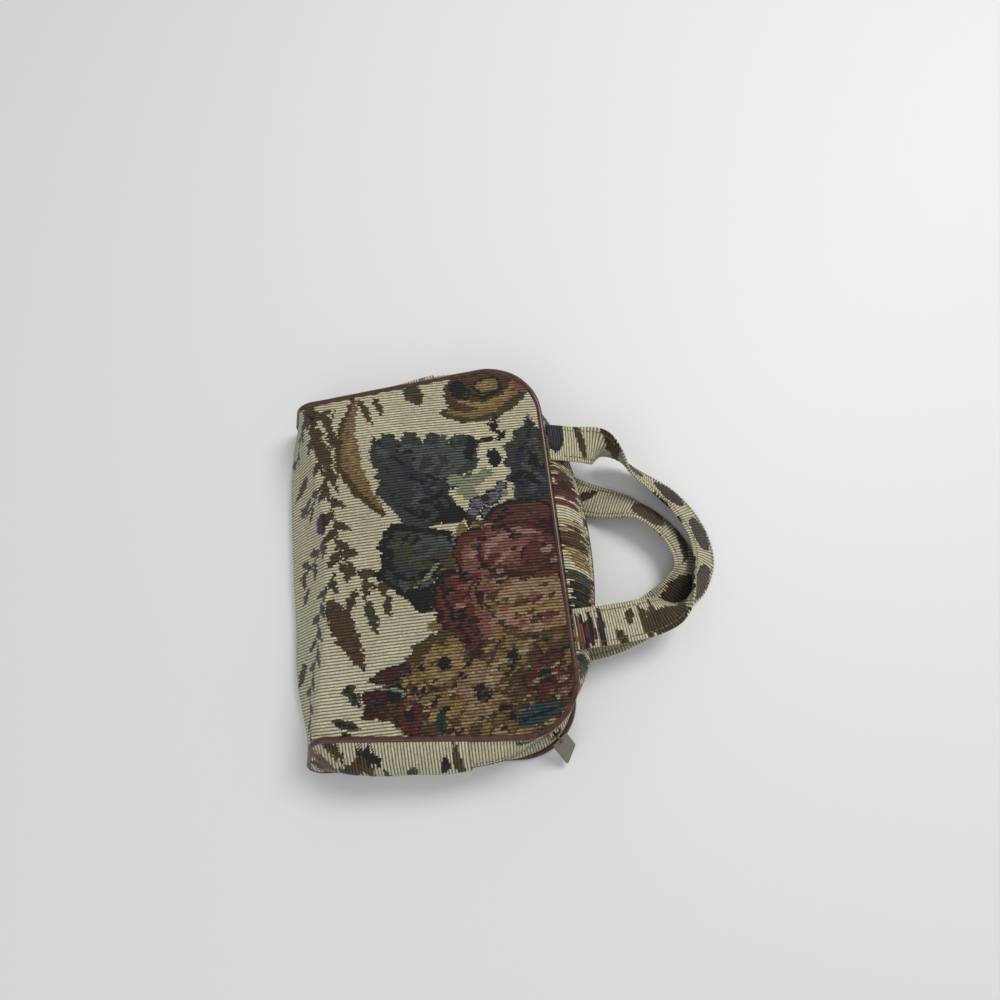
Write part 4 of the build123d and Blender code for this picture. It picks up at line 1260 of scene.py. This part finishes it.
def tapestry():
    """Ribbed jacquard cloth: thread colours from the print, ribs and cross threads from the
    cloth's own coordinates. The ribs and cross threads also darken the colour in the grooves between them, as
    painted shade."""
    finish = Finish("tapestry")
    uv = finish.nodes.new("ShaderNodeUVMap")
    uv.uv_map = "cloth"
    split = finish.nodes.new("ShaderNodeSeparateXYZ")
    finish.link(uv.outputs["UV"], split.inputs[0])
    a, b = (finish.times(split.outputs[axis], CLOTH_UNIT) for axis in "XY")
    place = finish.place()
    wobble = finish.times(finish.noise(place, 140.0), 0.5)
    rib_place = finish.math("DIVIDE", finish.plus(b, wobble), RIB_PITCH)
    rib_number = finish.math("FLOOR", rib_place)
    rib = finish.wave(rib_place, 1.25)
    thread_place = finish.plus(finish.math("DIVIDE", a, THREAD_PITCH), finish.times(rib_number, 0.5))
    thread = finish.wave(thread_place, 0.6)
    fuzz = finish.noise(place, 1500.0, 4.0)
    blotch = finish.noise(place, 22.0, 2.0)
    # Painted shade: the print colour is darkened in the grooves between the ribs and, less, between the cross
    # threads. Blotch and fuzz are random tone.
    light = finish.scaled(rib, 0.98, 0.12)
    for pattern, gain, base in ((thread, 0.25, 0.8), (blotch, 0.3, 0.85), (fuzz, 0.5, 0.75)):
        light = finish.times(light, finish.scaled(pattern, gain, base))
    finish.print_colour(light)
    finish.roughness(fuzz, 0.16, 0.76)
    finish.settings(Specular_IOR_Level=0.25, Sheen_Weight=0.18, Sheen_Roughness=0.5)
    height = finish.plus(finish.plus(rib, finish.times(thread, 0.35)), finish.times(fuzz, 0.35))
    finish.bump(height, 0.75, 0.45)
    return finish.material


def plain_material(name, dark, light, scale, roughness, spread, grain, grain_depth, metallic=0.0, coat=0.0):
    """A solid finish whose colour and roughness vary softly, with a fine grain."""
    finish = Finish(name)
    place = finish.place()
    ramp = finish.nodes.new("ShaderNodeValToRGB")
    for stop, position, code in zip(ramp.color_ramp.elements, (0.3, 0.7), (dark, light)):
        stop.position = position
        stop.color = (*linear(code), 1)
    spots = finish.noise(place, scale)
    finish.link(spots, ramp.inputs["Fac"])
    finish.link(ramp.outputs["Color"], finish.shader.inputs["Base Color"])
    finish.roughness(spots, spread, roughness)
    finish.settings(Metallic=metallic, Coat_Weight=coat, Coat_Roughness=0.12)
    finish.bump(finish.noise(place, grain, 4.0), 0.5, grain_depth)
    return finish.material


def tab_material():
    """Grey-taupe coated leather: its colours come from the piece, under a fine grain."""
    finish = Finish("tab_leather_finish")
    grain = finish.noise(finish.place(), 1100.0, 4.0)
    finish.print_colour(finish.scaled(grain, 0.6, 0.7))
    finish.roughness(grain, 0.2, 0.4)
    finish.bump(grain, 0.4, 0.15)
    return finish.material


cloth_finish = tapestry()
vinyl_finish = plain_material(
    "piping_vinyl_finish", "331912", "532B20", 260.0, 0.24, 0.2, 700.0, 0.1, coat=0.25
)
tape_finish = plain_material("zip_tape_finish", "1E1612", "33261E", 900.0, 0.75, 0.2, 1800.0, 0.2)
metal_finish = plain_material(
    "zip_metal_finish", "4A3F30", "8A7A5C", 420.0, 0.28, 0.3, 900.0, 0.08, metallic=1.0
)
thread_finish = plain_material("stitch_thread_finish", "5C513A", "877A59", 600.0, 0.7, 0.2, 2400.0, 0.15)
leather_finish = tab_material()

OWN_FINISHES = {"piping_cord": vinyl_finish, "pull_tab_leather": leather_finish}
for piece in bpy.context.scene.objects:
    if piece.type != "MESH" or piece.name in frame["nodes"]:
        continue
    is_thread = "stitches" in piece.name
    finish = thread_finish if is_thread else OWN_FINISHES.get(piece.name, cloth_finish)
    piece.data.materials.clear()
    piece.data.materials.append(finish)

CAD_FINISHES = {
    "zip_tape_front": tape_finish, "zip_tape_back": tape_finish, "zip_teeth_front": metal_finish,
    "zip_teeth_back": metal_finish, "zip_end_stops": metal_finish, "zip_slider": metal_finish,
    "pull_ring": metal_finish,
}
for node, finish in CAD_FINISHES.items():
    for material_slot in frame["nodes"][node].material_slots:
        material_slot.material = finish


# Floor, light and camera
def emitter(name, size, power, place, target, colour):
    """A round area lamp that faces its target."""
    light = bpy.data.lights.new(name, "AREA")
    light.shape = "DISK"
    light.size = size
    light.energy = power
    light.color = colour
    lamp = bpy.data.objects.new(name, light)
    lamp.location = Vector(place)
    lamp.rotation_euler = (Vector(target) - Vector(place)).to_track_quat("-Z", "Y").to_euler()
    bpy.context.scene.collection.objects.link(lamp)


FLOOR_HALF = 4.0
floor_mesh = bpy.data.meshes.new("floor")
corners = [(x * FLOOR_HALF, y * FLOOR_HALF, 0) for x, y in ((-1, -1), (1, -1), (1, 1), (-1, 1))]
floor_mesh.from_pydata(corners, [], [(0, 1, 2, 3)])
floor = bpy.data.objects.new("floor", floor_mesh)
bpy.context.scene.collection.objects.link(floor)
floor_finish = Finish("pale_floor")
floor_finish.settings(Base_Color=(0.8, 0.805, 0.81, 1), Roughness=0.55)
floor_mesh.materials.append(floor_finish.material)

emitter("key", 0.7, 11.0, (0.75, 0.55, 1.25), (0.02, 0.0, 0.0), (1.0, 0.99, 0.97))
emitter("fill", 1.4, 5.0, (-0.7, -1.1, 1.3), (0.0, 0.0, 0.0), (0.96, 0.98, 1.0))

world = bpy.data.worlds.new("studio")
bpy.context.scene.world = world
world.use_nodes = True
background = world.node_tree.nodes["Background"]
background.inputs["Color"].default_value = (0.86, 0.87, 0.88, 1)
background.inputs["Strength"].default_value = 0.55

# The camera stands where the fit to the seam lines puts it, in the part's frame
CAMERA_PLACE = Vector((29.2, -120.3, 494.3))
right = Vector((0.9936, -0.1127, 0.0)).normalized()
forward = Vector((0.0348, 0.3070, -0.9511)).normalized()
up = right.cross(forward).normalized()
camera_data = bpy.data.cameras.new("photo_camera")
camera_data.lens = 27.04
camera_data.sensor_width = 36.0
camera_data.clip_start = 0.01
camera = bpy.data.objects.new("photo_camera", camera_data)
bpy.context.scene.collection.objects.link(camera)
turn = Matrix((right, up, -forward)).transposed().to_4x4()
camera.matrix_world = Matrix.Translation(CAMERA_PLACE * MM) @ turn
bpy.context.scene.camera = camera
bpy.context.scene.view_settings.view_transform = "Standard"
